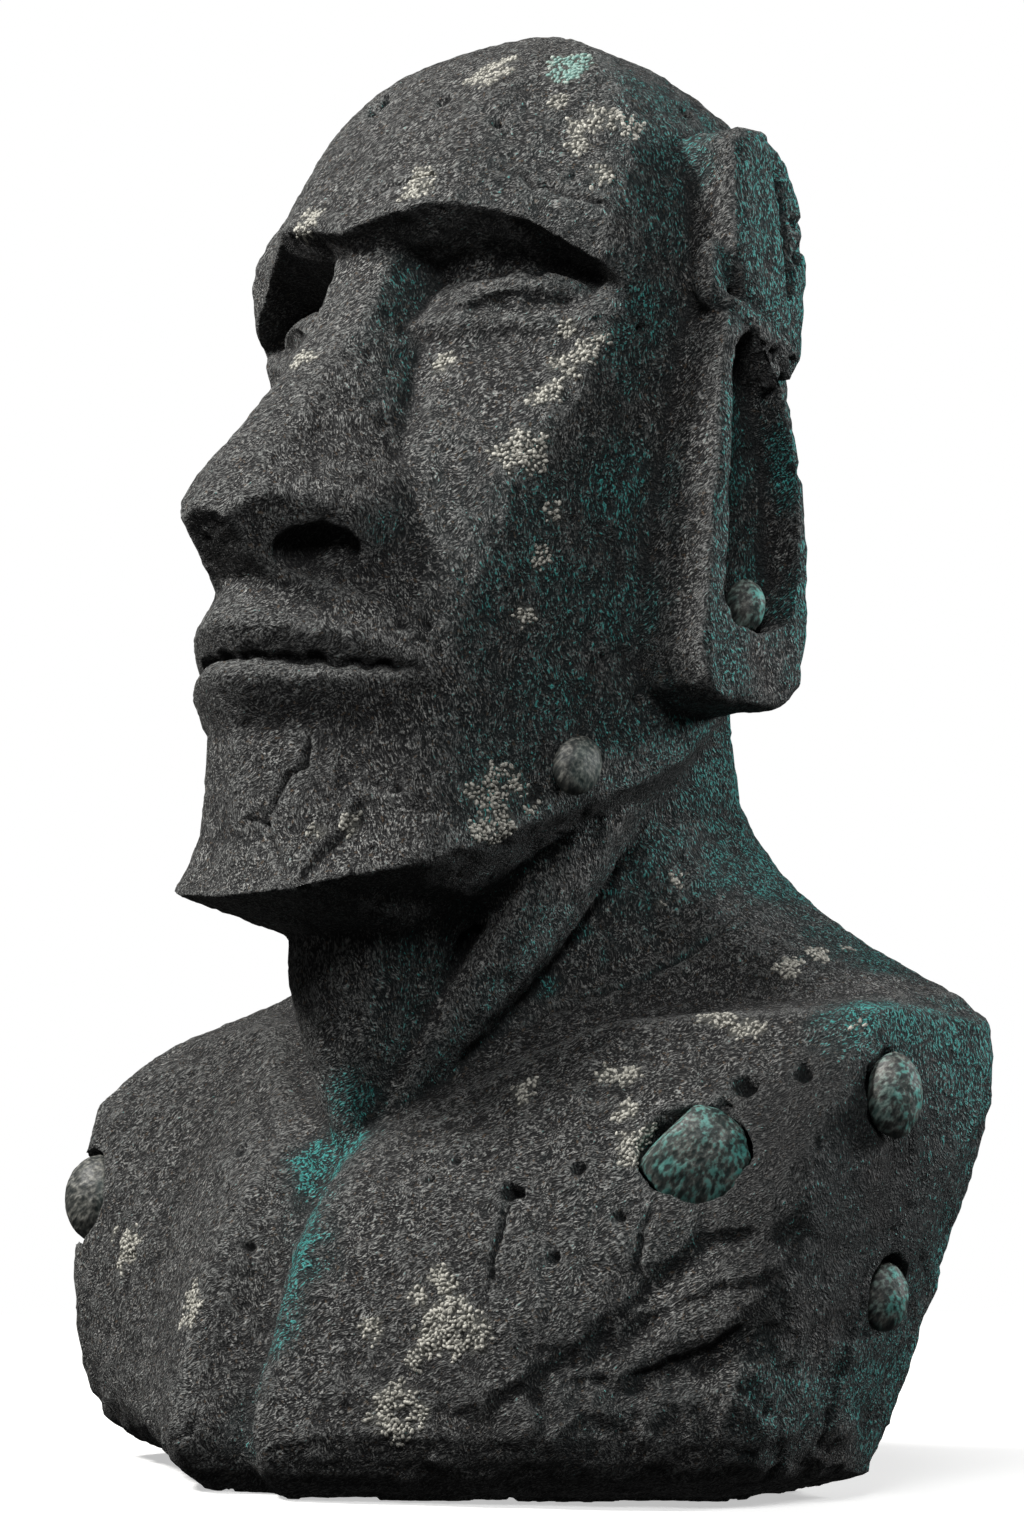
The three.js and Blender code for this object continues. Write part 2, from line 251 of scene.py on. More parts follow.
def _drawn(ends: np.ndarray, places: np.ndarray, rounds: int, share: np.ndarray) -> np.ndarray:
    """Draws points towards those that their edges join them to.

    Args:
        ends: The two ends of each edge.
        places: Where the points are.
        rounds: How often each point moves.
        share: How much of each move a point makes.

    Returns:
        The new places.
    """
    count = len(places)
    here = np.concatenate([ends[:, 0], ends[:, 1]])
    there = np.concatenate([ends[:, 1], ends[:, 0]])
    joined = np.maximum(np.bincount(here, minlength=count), 1)[:, None]
    worn = places.copy()
    for _ in range(rounds):
        pulled = [np.bincount(here, worn[there, axis], minlength=count) for axis in range(3)]
        worn += (np.stack(pulled, axis=1) / joined - worn) * share / 2.0
    return worn


def remade(piece: bpy.types.Object, kind: str, **settings: Any) -> None:
    """Puts one modifier on a piece and makes its result the piece's own mesh.

    Args:
        piece: The piece that changes.
        kind: The modifier's type.
        settings: The modifier's settings by name.
    """
    modifier = piece.modifiers.new(kind.title(), kind)
    for name, value in settings.items():
        setattr(modifier, name, value)
    bake(piece)


def bake(piece: bpy.types.Object) -> None:
    """Makes what the modifiers of a piece give its own mesh, and clears them.

    Args:
        piece: The piece that changes.
    """
    bpy.context.view_layer.update()
    evaluated = piece.evaluated_get(bpy.context.evaluated_depsgraph_get())
    mesh = bpy.data.meshes.new_from_object(evaluated)
    old = piece.data
    piece.modifiers.clear()
    piece.data = mesh
    bpy.data.meshes.remove(old)


def skinned(node: str, voxel: float) -> bpy.types.Object:
    """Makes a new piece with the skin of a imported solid, in even cells.

    Args:
        node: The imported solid's node.
        voxel: The size of a cell in metres.

    Returns:
        The piece, at the origin.
    """
    shape = bmesh.new()
    shape.from_mesh(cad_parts[node].data)
    bmesh.ops.remove_doubles(shape, verts=shape.verts, dist=0.02 * MM)
    mesh = bpy.data.meshes.new(f"{node}_stone")
    shape.to_mesh(mesh)
    shape.free()
    piece = bpy.data.objects.new(f"{node}_stone", mesh)
    bpy.context.scene.collection.objects.link(piece)
    remade(piece, "REMESH", mode="VOXEL", voxel_size=voxel, use_smooth_shade=True)
    return piece


def smooth_shaded(mesh: bpy.types.Mesh) -> None:
    """Shades every face of a mesh smooth."""
    mesh.polygons.foreach_set("use_smooth", np.ones(len(mesh.polygons), bool))
    mesh.update()


def triangles(piece: bpy.types.Object) -> int:
    """How many triangles a piece has."""
    return sum(len(face.vertices) - 2 for face in piece.data.polygons)


def note(mesh: bpy.types.Mesh, name: str, values: np.ndarray) -> None:
    """Keeps one number for each vertex, for the materials to read."""
    attribute = mesh.attributes.new(name, "FLOAT", "POINT")
    attribute.data.foreach_set("value", values.astype(np.float32))


# --- node trees ---


@dataclass
class Wiring:
    """A node tree while it is being wired."""

    tree: bpy.types.NodeTree

    def add(self, kind: str, wires: Mapping[int | str, Any] | None = None, **settings: Any) -> Any:
        """Adds one node.

        Args:
            kind: The node's type.
            wires: For each input, by place or name, the socket that feeds it or its value.
            settings: The node's settings by name.

        Returns:
            The node's outputs.
        """
        node = self.tree.nodes.new(kind)
        for name, value in settings.items():
            setattr(node, name, value)
        for name, value in (wires or {}).items():
            if isinstance(value, bpy.types.NodeSocket):
                self.tree.links.new(value, node.inputs[name])
            else:
                node.inputs[name].default_value = value
        return node.outputs

    def ramp(self, value: Any, *stops: tuple[float, str]) -> Any:
        """Colours a value by a ramp.

        Args:
            value: The socket that gives the value.
            stops: The ramp's stops, each a place from 0 to 1 and a colour code.

        Returns:
            The colour's socket.
        """
        node = self.tree.nodes.new("ShaderNodeValToRGB")
        self.tree.links.new(value, node.inputs[0])
        elements = node.color_ramp.elements
        for element, (place, code) in zip(elements, (stops[0], stops[-1])):
            element.position, element.color = place, tone(code)
        for place, code in stops[1:-1]:
            elements.new(place).color = tone(code)
        return node.outputs[0]

    def attribute(self, name: str) -> Any:
        """One of the numbers noted on the mesh."""
        return self.add("ShaderNodeAttribute", attribute_name=name)["Fac"]

    def lumps(self, place: Any, size: float, detail: float) -> Any:
        """Noise in lumps of one size, in metres, with finer lumps on them."""
        return self.add("ShaderNodeTexNoise", {0: place, "Scale": 1 / size, "Detail": detail})[0]

    def math(self, operation: str, *terms: Any) -> Any:
        """One calculation with sockets and numbers."""
        return self.add("ShaderNodeMath", dict(enumerate(terms)), operation=operation)[0]

    def span(self, value: Any, low: float, high: float, start: float, end: float) -> Any:
        """A value carried from one range on to another, and kept within it."""
        return self.add("ShaderNodeMapRange", {0: value, 1: low, 2: high, 3: start, 4: end})[0]

    def blend(self, share: Any, first: Any, second: Any) -> Any:
        """A number part way from a first to a second."""
        return self.add("ShaderNodeMix", {0: share, 2: first, 3: second}, data_type="FLOAT")[0]

    def coat(self, share: Any, under: Any, code: str) -> Any:
        """A colour with a share of another colour laid over it."""
        return self.add("ShaderNodeMix", {0: share, 6: under, 7: tone(code)}, data_type="RGBA")[2]

    def surface(self, colour: Any, rough: Any, normal: Any, index: float) -> None:
        """Ends a material with its shader.

        Args:
            colour: The base colour's socket.
            rough: The roughness.
            normal: The bumped normal's socket.
            index: The index of refraction.
        """
        settings = {"Base Color": colour, "Roughness": rough, "Normal": normal, "IOR": index}
        self.add("ShaderNodeOutputMaterial", {0: self.add("ShaderNodeBsdfPrincipled", settings)[0]})


class Stain(Enum):
    """What a cobble has taken up from the ground it lay in."""

    TURQUOISE = "cobble_turquoise"
    DARK = "cobble_dark"


def fresh_material(name: str) -> tuple[bpy.types.Material, Wiring]:
    """Starts a material.

    Args:
        name: Its name.

    Returns:
        The material with an empty node tree, and the tree's wiring.
    """
    material = bpy.data.materials.new(name)
    material.use_nodes = True
    material.node_tree.nodes.clear()
    return material, Wiring(material.node_tree)


@dataclass(frozen=True)
class Basalt:
    """Vesicular basalt dressed with stone picks, and long weathered."""

    # Basalt is a dark, fine-grained lava. Pick strokes leave short raised fibres of crushed
    # grain, paler than the rest. Their crests are also painted near-white as glints of light,
    # and the hollows between them near-black as painted shade.
    deep: str = "#0e0f11"
    body: str = "#242527"
    # Near-white crests: partly the crushed grain's pale tone, partly painted glints.
    crest: str = "#d6d6d2"
    # Dark teal ground of the patina, partly painted teal-tinted shade on the side planes.
    darkening: str = "#143638"
    lichened: str = "#70706a"
    rust: str = "#6e5a45"
    # Pale dust on worn edges, partly a painted highlight along them.
    dust_and_highlight: str = "#8f918f"
    # Bright teal specks: patina, and painted teal glints on faces turned to the rim lamp.
    patina_and_rim_glint: str = "#48c6c0"
    index: float = 1.55
    stroke: Spot = (1.5 * MM, 1.5 * MM, 3.6 * MM)
    coarse: float = 2.2
    slant: Spot = (0.0, radians(58), radians(12))
    upright: Spot = (radians(10), radians(-8), 0.0)
    sway: float = 30.0 * MM
    swing: float = 16.0 * MM
    chip: float = 3.4 * MM
    grit: float = 1.1 * MM
    fleck: float = 4.0 * MM
    mottle: float = 9.0 * MM
    cloud: float = 55.0 * MM
    relief: float = 11.0 * MM

    def made(self) -> bpy.types.Material:
        """Makes the material.

        Returns:
            The finished material.
        """
        material, wiring = fresh_material("basalt_dressed")
        add = wiring.add
        place = add("ShaderNodeTexCoord")["Object"]
        sway = add("ShaderNodeTexNoise", {0: place, "Scale": 1 / self.sway, "Detail": 1.0})["Color"]
        swing = add("ShaderNodeVectorMath", {0: sway, 1: (0.5,) * 3}, operation="SUBTRACT")[0]
        bend = {0: swing, 1: (self.swing,) * 3, 2: place}
        bent = add("ShaderNodeVectorMath", bend, operation="MULTIPLY_ADD")[0]
        across = self._strokes(wiring, bent, self.slant)
        upright = self._strokes(wiring, bent, self.upright)
        strokes = wiring.blend(wiring.attribute("plumb"), across, upright)
        height = wiring.math("MULTIPLY_ADD", wiring.lumps(place, self.grit, 2.0), 0.3, strokes)
        chips = add("ShaderNodeTexVoronoi", {0: bent, "Scale": 1 / self.chip})["Distance"]
        height = wiring.math("MULTIPLY_ADD", chips, -0.2, height)
        colour = self._colour(wiring, place, strokes)
        relief = {"Strength": 1.0, "Distance": self.relief, "Height": height}
        rough = wiring.span(strokes, 0.42, 0.6, 0.9, 0.5)
        wiring.surface(colour, rough, add("ShaderNodeBump", relief)[0], self.index)
        return material

    def _strokes(self, wiring: Wiring, place: Any, turn: Spot) -> Any:
        """Lays pick strokes at one angle, fine ones over coarse ones.

        Args:
            wiring: The material's wiring.
            place: The socket that gives the place.
            turn: The angle that the strokes take.

        Returns:
            The strokes' height, 0 in a trough to 1 on a crest.
        """
        layers = []
        for size in (1.0, self.coarse):
            lump = tuple(side * size for side in self.stroke)
            laid = {0: place, 2: turn, 3: lump}
            stretched = wiring.add("ShaderNodeMapping", laid, vector_type="TEXTURE")[0]
            layers.append(wiring.lumps(stretched, 1.0, 2.0))
        return wiring.blend(0.35, *layers)

    def _colour(self, wiring: Wiring, place: Any, strokes: Any) -> Any:
        """Colours the stone: strokes with painted glints and shade, flecks, dust and a painted
        highlight on worn edges, painted shade, lichen stain, and patina with painted rim light.

        Args:
            wiring: The material's wiring.
            place: The socket that gives the place.
            strokes: The socket that gives the strokes' height.

        Returns:
            The colour's socket.
        """
        # Stroke crests painted near-white as glints, and their hollows near-black as painted shade.
        stone = wiring.ramp(strokes, (0.42, self.deep), (0.51, self.body), (0.62, self.crest))
        cloud = wiring.lumps(place, self.cloud, 4.0)
        stone = wiring.coat(wiring.span(cloud, 0.35, 0.65, 0.0, 0.45), stone, self.deep)
        mottle = wiring.lumps(place, self.mottle, 2.0)
        stone = wiring.coat(wiring.span(mottle, 0.48, 0.62, 0.0, 0.6), stone, self.deep)
        fleck = wiring.lumps(place, self.fleck, 1.0)
        stone = wiring.coat(wiring.span(fleck, 0.66, 0.72, 0.0, 0.7), stone, self.rust)
        stone = wiring.coat(wiring.span(fleck, 0.34, 0.28, 0.0, 0.85), stone, self.deep)
        # Dust on the stroke crests of worn edges: partly wear, partly a painted highlight.
        pale = wiring.span(strokes, 0.42, 0.62, 0.0, 1.0)
        pale = wiring.math("MULTIPLY", wiring.attribute("worn"), pale)
        stone = wiring.coat(pale, stone, self.dust_and_highlight)
        # Painted shade: near-black in creases, recesses, shade patches and under things.
        stone = wiring.coat(wiring.attribute("painted_shade"), stone, self.deep)
        crust = wiring.math("MULTIPLY", wiring.attribute("crust"), 0.8)
        stone = wiring.coat(crust, stone, self.lichened)
        # Patina takes hold on the crests first, and spreads down them as it thickens. On the faces
        # turned to the rim lamp its dark teal ground is partly painted shade, and its bright specks
        # are painted teal glints of rim light.
        patina_and_rim_light = wiring.attribute("patina_and_rim_light")
        stone = wiring.coat(wiring.math("MULTIPLY", patina_and_rim_light, 0.6), stone, self.darkening)
        line = wiring.math("MULTIPLY_ADD", patina_and_rim_light, -0.19, 0.68)
        broken = wiring.math("MULTIPLY_ADD", fleck, 0.16, -0.08)
        over = wiring.math("SUBTRACT", strokes, wiring.math("ADD", line, broken))
        return wiring.coat(wiring.span(over, -0.01, 0.06, 0.0, 0.85), stone, self.patina_and_rim_glint)


@dataclass(frozen=True)
class WaterWornStone:
    """A cobble of fine lava, rounded and half polished by water."""

    # Water leaves a satin skin with shallow dents, and copper-green salts settle in streaks.
    # On the side turned to the rim lamp the green is also painted teal rim light.
    stain: Stain
    dark: str = "#1e1f20"
    body: str = "#4a4946"
    light: str = "#8f8d86"
    # Copper-green salts, with painted teal rim light on the rim lamp's side.
    salt_and_rim_light: str = "#55a89f"
    index: float = 1.55
    slant: Spot = (0.5, 0.9, 0.2)
    streak: Spot = (4 * MM, 4 * MM, 15 * MM)
    blotch: float = 16.0 * MM
    relief: float = 1.2 * MM

    def made(self) -> bpy.types.Material:
        """Makes the material.

        Returns:
            The finished material.
        """
        material, wiring = fresh_material(self.stain.value)
        place = wiring.add("ShaderNodeTexCoord")["Object"]
        laid = {0: place, 2: self.slant, 3: self.streak}
        streak = wiring.add("ShaderNodeMapping", laid, vector_type="TEXTURE")[0]
        vein = wiring.lumps(streak, 1.0, 4.0)
        stone = wiring.ramp(vein, (0.36, self.dark), (0.5, self.body), (0.7, self.light))
        streaky = wiring.blend(0.6, wiring.lumps(place, self.blotch, 3.0), vein)
        level = 0.95 if self.stain is Stain.TURQUOISE else 0.1
        patch = wiring.span(streaky, 0.49, 0.6, 0.06, level)
        share = wiring.math("MULTIPLY", patch, wiring.attribute("patina_and_rim_light"))
        relief = {"Strength": 0.8, "Distance": self.relief, "Height": vein}
        bump = wiring.add("ShaderNodeBump", relief)[0]
        wiring.surface(wiring.coat(share, stone, self.salt_and_rim_light), 0.55, bump, self.index)
        return material


@dataclass(frozen=True)
class CrustLichen:
    """Crustose lichen: a dry, chalky crust of small lobes."""

    # It grows as pale grey-buff rosettes, matt all over, darker between the lobes.
    dark: str = "#5a5953"
    light: str = "#cfcdc3"
    green: str = "#7fb0a8"
    index: float = 1.45
    crumb: float = 3.0 * MM
    relief: float = 0.8 * MM

    def made(self) -> bpy.types.Material:
        """Makes the material.

        Returns:
            The finished material.
        """
        material, wiring = fresh_material("lichen_crust")
        place = wiring.add("ShaderNodeTexCoord")["Object"]
        crumb = wiring.lumps(place, self.crumb, 3.0)
        crust = wiring.ramp(crumb, (0.35, self.dark), (0.6, self.light))
        colour = wiring.coat(wiring.attribute("green"), crust, self.green)
        relief = {"Strength": 0.7, "Distance": self.relief, "Height": crumb}
        wiring.surface(colour, 0.9, wiring.add("ShaderNodeBump", relief)[0], self.index)
        return material


# --- marks in the stone ---


@dataclass
class Skin:
    """The bust's surface as arrays, with ragged copies of its places for the marks."""

    places: np.ndarray
    normals: np.ndarray
    ragged: np.ndarray = field(init=False)

    def __post_init__(self) -> None:
        """Shifts the places a little, so that a mark's edge comes out uneven."""
        drift = [Noise(70 + axis).layers(self.places, 22 * MM, 3) for axis in range(3)]
        self.ragged = self.places + np.stack(drift, axis=1) * 4.5 * MM

    def seated(self, place: Spot) -> np.ndarray:
        """Finds the point of the surface nearest to a place.

        Args:
            place: The place in millimetres.

        Returns:
            The point in metres.
        """
        target = spot(place)
        gaps = np.einsum("ij,ij->i", self.places - target, self.places - target)
        return self.places[int(np.argmin(gaps))]

    def within(self, points: np.ndarray, reach: float) -> np.ndarray:
        """Finds the vertices in the box of some points, grown by a reach.

        Args:
            points: The points in metres, one a row.
            reach: How far the box grows on each side, in metres.

        Returns:
            The vertices' numbers.
        """
        low = points.min(axis=0) - reach
        high = points.max(axis=0) + reach
        return np.flatnonzero(np.all((self.places > low) & (self.places < high), axis=1))

    def from_path(self, path: np.ndarray, inside: np.ndarray) -> tuple[np.ndarray, np.ndarray]:
        """How far vertices lie from a path, measured along the surface.

        Args:
            path: The path's points, one a row.
            inside: Which vertices are measured.

        Returns:
            The distance, and the offset from the nearest point of the path.
        """
        here = self.ragged[inside]
        normal = self.normals[inside]
        best = np.full(len(inside), 9.0)
        offset = np.zeros((len(inside), 3))
        for start, end in zip(path[:-1], path[1:]):
            run = end - start
            share = np.clip((here - start) @ run / max(run @ run, 1e-12), 0.0, 1.0)
            gap = here - (start + share[:, None] * run)
            gap -= normal * np.einsum("ij,ij->i", gap, normal)[:, None] * 0.8
            far = np.sqrt(np.einsum("ij,ij->i", gap, gap))
            closer = far < best
            best = np.where(closer, far, best)
            offset[closer] = gap[closer]
        return best, offset


def from_ends(places: np.ndarray, path: np.ndarray) -> np.ndarray:
    """How far places lie from the nearer end of a path, in metres."""
    return np.minimum(*(np.linalg.norm(places - path[end], axis=1) for end in (0, -1)))


@dataclass(frozen=True)
class Pit:
    """A gas bubble or a plucked grain that left a hole."""

    place: Spot
    radius: float
    depth: float

    def sunk(self, skin: Skin) -> tuple[np.ndarray, np.ndarray]:
        """Measures the mark.

        Args:
            skin: The surface that it is in.

        Returns:
            Which vertices the mark lowers, and by how much in metres.
        """
        centre = skin.seated(self.place)[None, :]
        inside = skin.within(centre, self.radius * MM * 2.0)
        far, _ = skin.from_path(np.vstack([centre, centre]), inside)
        far *= 1.0 + 0.5 * Noise(63).at(skin.places[inside], 10 * MM)
        return inside, ease(far / (self.radius * MM), 1.0, 0.35) * self.depth * 1.5 * MM


@dataclass(frozen=True)
class Crack:
    """An open crack along a path."""

    path: tuple[Spot, ...]
    width: float = 2.8
    depth: float = 8.0

    def sunk(self, skin: Skin) -> tuple[np.ndarray, np.ndarray]:
        """Measures the mark.

        Args:
            skin: The surface that it is in.

        Returns:
            Which vertices the mark lowers, and by how much in metres.
        """
        path = np.array([skin.seated(place) for place in self.path])
        inside = skin.within(path, 16 * MM)
        far, _ = skin.from_path(path, inside)
        here = skin.places[inside]
        width = self.width * MM * (1.0 + 0.7 * Noise(61).at(here, 16 * MM))
        depth = self.depth * MM * (0.35 + 0.65 * ease(from_ends(here, path), 0.0, 22 * MM))
        return inside, ease(far / width, 1.0, 0.2) * depth


@dataclass(frozen=True)
class Flake:
    """A flake struck off along a path: a sharp step that runs out on one side."""

    path: tuple[Spot, ...]
    toward: Spot
    reach: float
    depth: float

    def sunk(self, skin: Skin) -> tuple[np.ndarray, np.ndarray]:
        """Measures the mark.

        Args:
            skin: The surface that it is in.

        Returns:
            Which vertices the mark lowers, and by how much in metres.
        """
        path = np.array([skin.seated(place) for place in self.path])
        reach = self.reach * MM
        inside = skin.within(path, reach * 1.2)
        far, offset = skin.from_path(path, inside)
        side = offset @ pointed(self.toward)
        ends = from_ends(skin.places[inside], path)
        lowered = np.clip(1.0 - far / reach, 0.0, 1.0) ** 1.3 * ease(side, -0.5 * MM, 2.0 * MM)
        return inside, lowered * ease(ends, 0.0, 0.3 * reach) * self.depth * MM


@dataclass(frozen=True)
class Hewn:
    """A place dressed flat: what stands proud of the plane through it, within a radius, goes."""

    place: Spot
    way: Spot
    radius: float

    def sunk(self, skin: Skin) -> tuple[np.ndarray, np.ndarray]:
        """Measures the mark.

        Args:
            skin: The surface that it is in.

        Returns:
            Which vertices the mark lowers, and by how much in metres.
        """
        centre, way = spot(self.place), pointed(self.way)
        inside = skin.within(centre[None, :], self.radius * MM)
        facing = skin.normals[inside] @ way
        over = (skin.places[inside] - centre) @ way
        over += 0.8 * MM * Noise(65).layers(skin.places[inside], 14 * MM, 2)
        near = np.linalg.norm(skin.places[inside] - centre, axis=1) < self.radius * MM
        sunk = np.maximum(over, 0.0) / np.maximum(facing, 0.4)
        return inside, np.where(near & (facing > 0.25), sunk, 0.0)


@dataclass(frozen=True)
class Push:
    """A gentle shift of the skin near a path, made before the skin is worked."""

    path: tuple[Spot, ...]
    way: Spot
    reach: float

    def moved(self, skin: Skin) -> tuple[np.ndarray, np.ndarray]:
        """Measures the shift.

        Args:
            skin: The surface that moves.

        Returns:
            Which vertices move, and how far in metres.
        """
        path = np.array([spot(place) for place in self.path])
        inside = skin.within(path, self.reach * MM)
        far, _ = skin.from_path(path, inside)
        return inside, ease(far / (self.reach * MM), 1.0, 0.1)[:, None] * spot(self.way)


BROW_EDGE = (
    (-98, 235, 1158), (-50, 242, 1156), (10, 241, 1142), (67, 238, 1150), (128, 228, 1157),
    (175, 193, 1142), (205, 165, 1117), (240, 140, 1090),
)
PUSHES = (
    Push(BROW_EDGE, (0, 2, 9), 30),
    Push(((-262, 134, 1150), (-262, 134, 1110)), (-6, 7, 0), 90),
)

FOREHEAD_CRACK = Crack(((152, 186, 1200), (190, 171, 1182), (222, 157, 1169), (251, 138, 1158)))
BROW_CRACK = Crack(((23, 238, 1179), (50, 226, 1196), (90, 218, 1201), (118, 211, 1194)), 2.6, 6)
CHIN_CRACK = Crack(
    ((74, 344, 680), (70, 348, 650), (53, 356, 637), (39, 360, 617), (33, 363, 602)), 2.6, 8
)
CHIN_SPLIT = Crack(
    ((5, 368, 603), (19, 365, 606), (33, 363, 602), (45, 363, 578), (71, 369, 556)), 2.6, 7
)
CHEST_CRACK = Crack(((232, 239, 275), (229, 251, 249), (230, 263, 216), (234, 273, 180)), 2.6, 8)
COBBLE_CRACK = Crack(((349, 184, 266), (348, 196, 237), (351, 200, 213), (356, 199, 198)), 2.4, 7)
NECK_CRACK = Crack(
    ((135, 134, 421), (172, 100, 444), (212, 68, 462), (242, 37, 484), (255, 15, 503)), 3.0, 5
)
SHOULDER_CRACK = Crack(
    ((-377, 178, 353), (-332, 163, 376), (-272, 148, 403), (-240, 136, 419)), 2.8, 7
)
CHEEK_STEP = Flake(
    ((240, 94, 923), (233, 115, 899), (228, 122, 865), (232, 105, 839), (230, 99, 768)),
    (0, 1, -0.4), 42, 6,
)
JAW_CHIP = Flake(
    ((82, 361, 559), (89, 346, 575), (99, 334, 586), (107, 324, 609)), (1, 0, 0), 26, 6
)
UPPER_LEDGE = Flake(
    (
        (306, 238, 146), (313, 232, 150), (356, 199, 198),
        (377, 185, 219), (395, 170, 237), (445, 138, 248),
    ),
    (0.3, 0.2, -1), 80, 5.5,
)
STRATUM_LEDGE = Flake(
    ((352, 213, 172), (385, 193, 186), (415, 175, 196), (442, 148, 205)), (0.2, 0.2, -1), 36, 5
)
MIDDLE_LEDGE = Flake(
    ((335, 211, 118), (391, 182, 134), (419, 169, 152), (440, 152, 165)), (0.2, 0.2, -1), 60, 9
)
LOWER_LEDGE = Flake(
    ((242, 288, 93), (275, 257, 120), (302, 241, 142), (335, 214, 160)), (0.5, 0.1, -1), 60, 6
)
ARM_EDGE = Flake(
    (
        (474, -49, 310), (472, -13, 262), (466, 23, 211),
        (459, 36, 163), (450, 49, 120), (422, 50, 44),
    ),
    (0, 1, -0.2), 60, 5,
)

KNOB_FRONT = Hewn((294, 70, 1100), (0.2, 1, 0), 46)

EAR_MARKS: tuple[Pit | Crack | Flake, ...] = (
    Crack(((326, 6, 1200), (326, -4, 1180), (326, -12, 1150), (326, -14, 1120)), 4.0, 12),
    Crack(((326, -14, 1128), (326, -20, 1100), (326, -18, 1072)), 4.5, 13),
    Pit((326, -30, 1152), 9, 12),
    Pit((326, -38, 1130), 8, 12),
    Pit((326, -30, 1124), 8, 9),
    Pit((326, -6, 1030), 9, 12),
    Pit((326, -32, 1015), 13, 14),
    Pit((322, -30, 924), 7, 8),
    Flake(((326, 8, 1215), (326, -8, 1170), (326, -16, 1100), (326, -20, 1030)), (0, -1, 0), 34, 5),
    Flake(((326, 50, 1076), (326, 30, 1056), (326, 8, 1034), (326, -10, 1012)), (0, 0, -1), 22, 6),
)

# Old breaks along the left chest that weather has filled, before the ledges are struck.
FILLED: tuple[tuple[Spot, ...], ...] = (
    ((313, 236, 150), (356, 201, 198), (395, 173, 237), (446, 138, 248)),
    ((335, 223, 118), (391, 186, 136), (419, 170, 153), (444, 150, 166)),
    ((238, 290, 93), (275, 262, 120), (301, 243, 141), (335, 218, 178)),
)

PARTING = Crack(
    (
        (-150, 284, 724), (-108, 323, 735), (-64, 356, 745), (-27, 375, 751), (0, 382, 753),
        (27, 375, 752), (64, 356, 749), (108, 324, 743), (152, 284, 738),
    ),
    4.0, 10,
)

MARKS: tuple[Pit | Crack | Flake | Hewn, ...] = (
    PARTING,
    KNOB_FRONT,
    FOREHEAD_CRACK,
    BROW_CRACK,
    CHIN_CRACK,
    CHIN_SPLIT,
    CHEST_CRACK,
    COBBLE_CRACK,
    NECK_CRACK,
    SHOULDER_CRACK,
    CHEEK_STEP,
    JAW_CHIP,
    UPPER_LEDGE,
    STRATUM_LEDGE,
    MIDDLE_LEDGE,
    LOWER_LEDGE,
    ARM_EDGE,
    *EAR_MARKS,
    Pit((-70, 144, 1298), 20, 17),
    Pit((44, 161, 1284), 10, 9),
    Pit((129, 169, 1248), 8, 8),
    Pit((206, 4, 1270), 13, 16),
    Pit((129, 287, 776), 5, 5),
    Pit((151, 268, 775), 5, 5),
    Pit((193, 212, 809), 6, 5),
    Pit((138, 295, 631), 4, 4),
    Pit((232, 239, 275), 10, 9),
    Pit((281, 206, 297), 8, 7),
    Pit((281, 236, 219), 7, 6),
    Pit((326, 200, 254), 6, 6),
    Pit((391, 112, 367), 12, 11),
    Pit((438, 83, 376), 10, 9),
    Pit((-129, 261, 306), 9, 7),
    Pit((-109, 294, 269), 8, 6),
    Pit((-68, 318, 252), 7, 5),
    Pit((148, 265, 287), 6, 5),
    Pit((165, 250, 300), 6, 5),
    Pit((231, 86, 715), 6, 5),
    Pit((221, 120, 750), 6, 5),
    Pit((218, 154, 874), 5, 5),
    Pit((255, 108, 1047), 6, 5),
    Pit((263, 96, 1157), 7, 6),
    Pit((-34, 324, 221), 6, 5),
    Pit((384, 129, 345), 8, 7),
    Pit((-60, -200, 960), 12, 9),
    Pit((40, -200, 820), 8, 7),
    Pit((-210, -200, 330), 14, 10),
    Pit((150, -200, 210), 10, 8),
    Pit((-470, -60, 300), 11, 9),
)


@dataclass(frozen=True)
class RoundPatch:
    """A round patch for stains and painted shade: middle, radius in millimetres, strength."""

    place: Spot
    radius: float
    strength: float

    def spread(
        self, places: np.ndarray, ragged: np.ndarray | float, edge: float, core: float
    ) -> np.ndarray:
        """Spreads the patch over places.

        Args:
            places: The places in metres, one a row.
            ragged: What makes its edge uneven, in radii.
            edge: Where it ends, in radii.
            core: Where it has its full strength, in radii.

        Returns:
            Its strength at each place.
        """
        gap = np.linalg.norm(places - spot(self.place), axis=1) / (self.radius * MM)
        return ease(gap + ragged, edge, core) * self.strength


# Patches of painted shade, where the stone is darkened to stand for shade.
SHADE_PATCHES: tuple[RoundPatch, ...] = (
    RoundPatch((470, 60, 270), 165, 0.75),
    RoundPatch((330, 230, 70), 130, 0.35),
    RoundPatch((190, 300, 60), 110, 0.35),
    RoundPatch((-60, 240, 90), 130, 0.4),
)

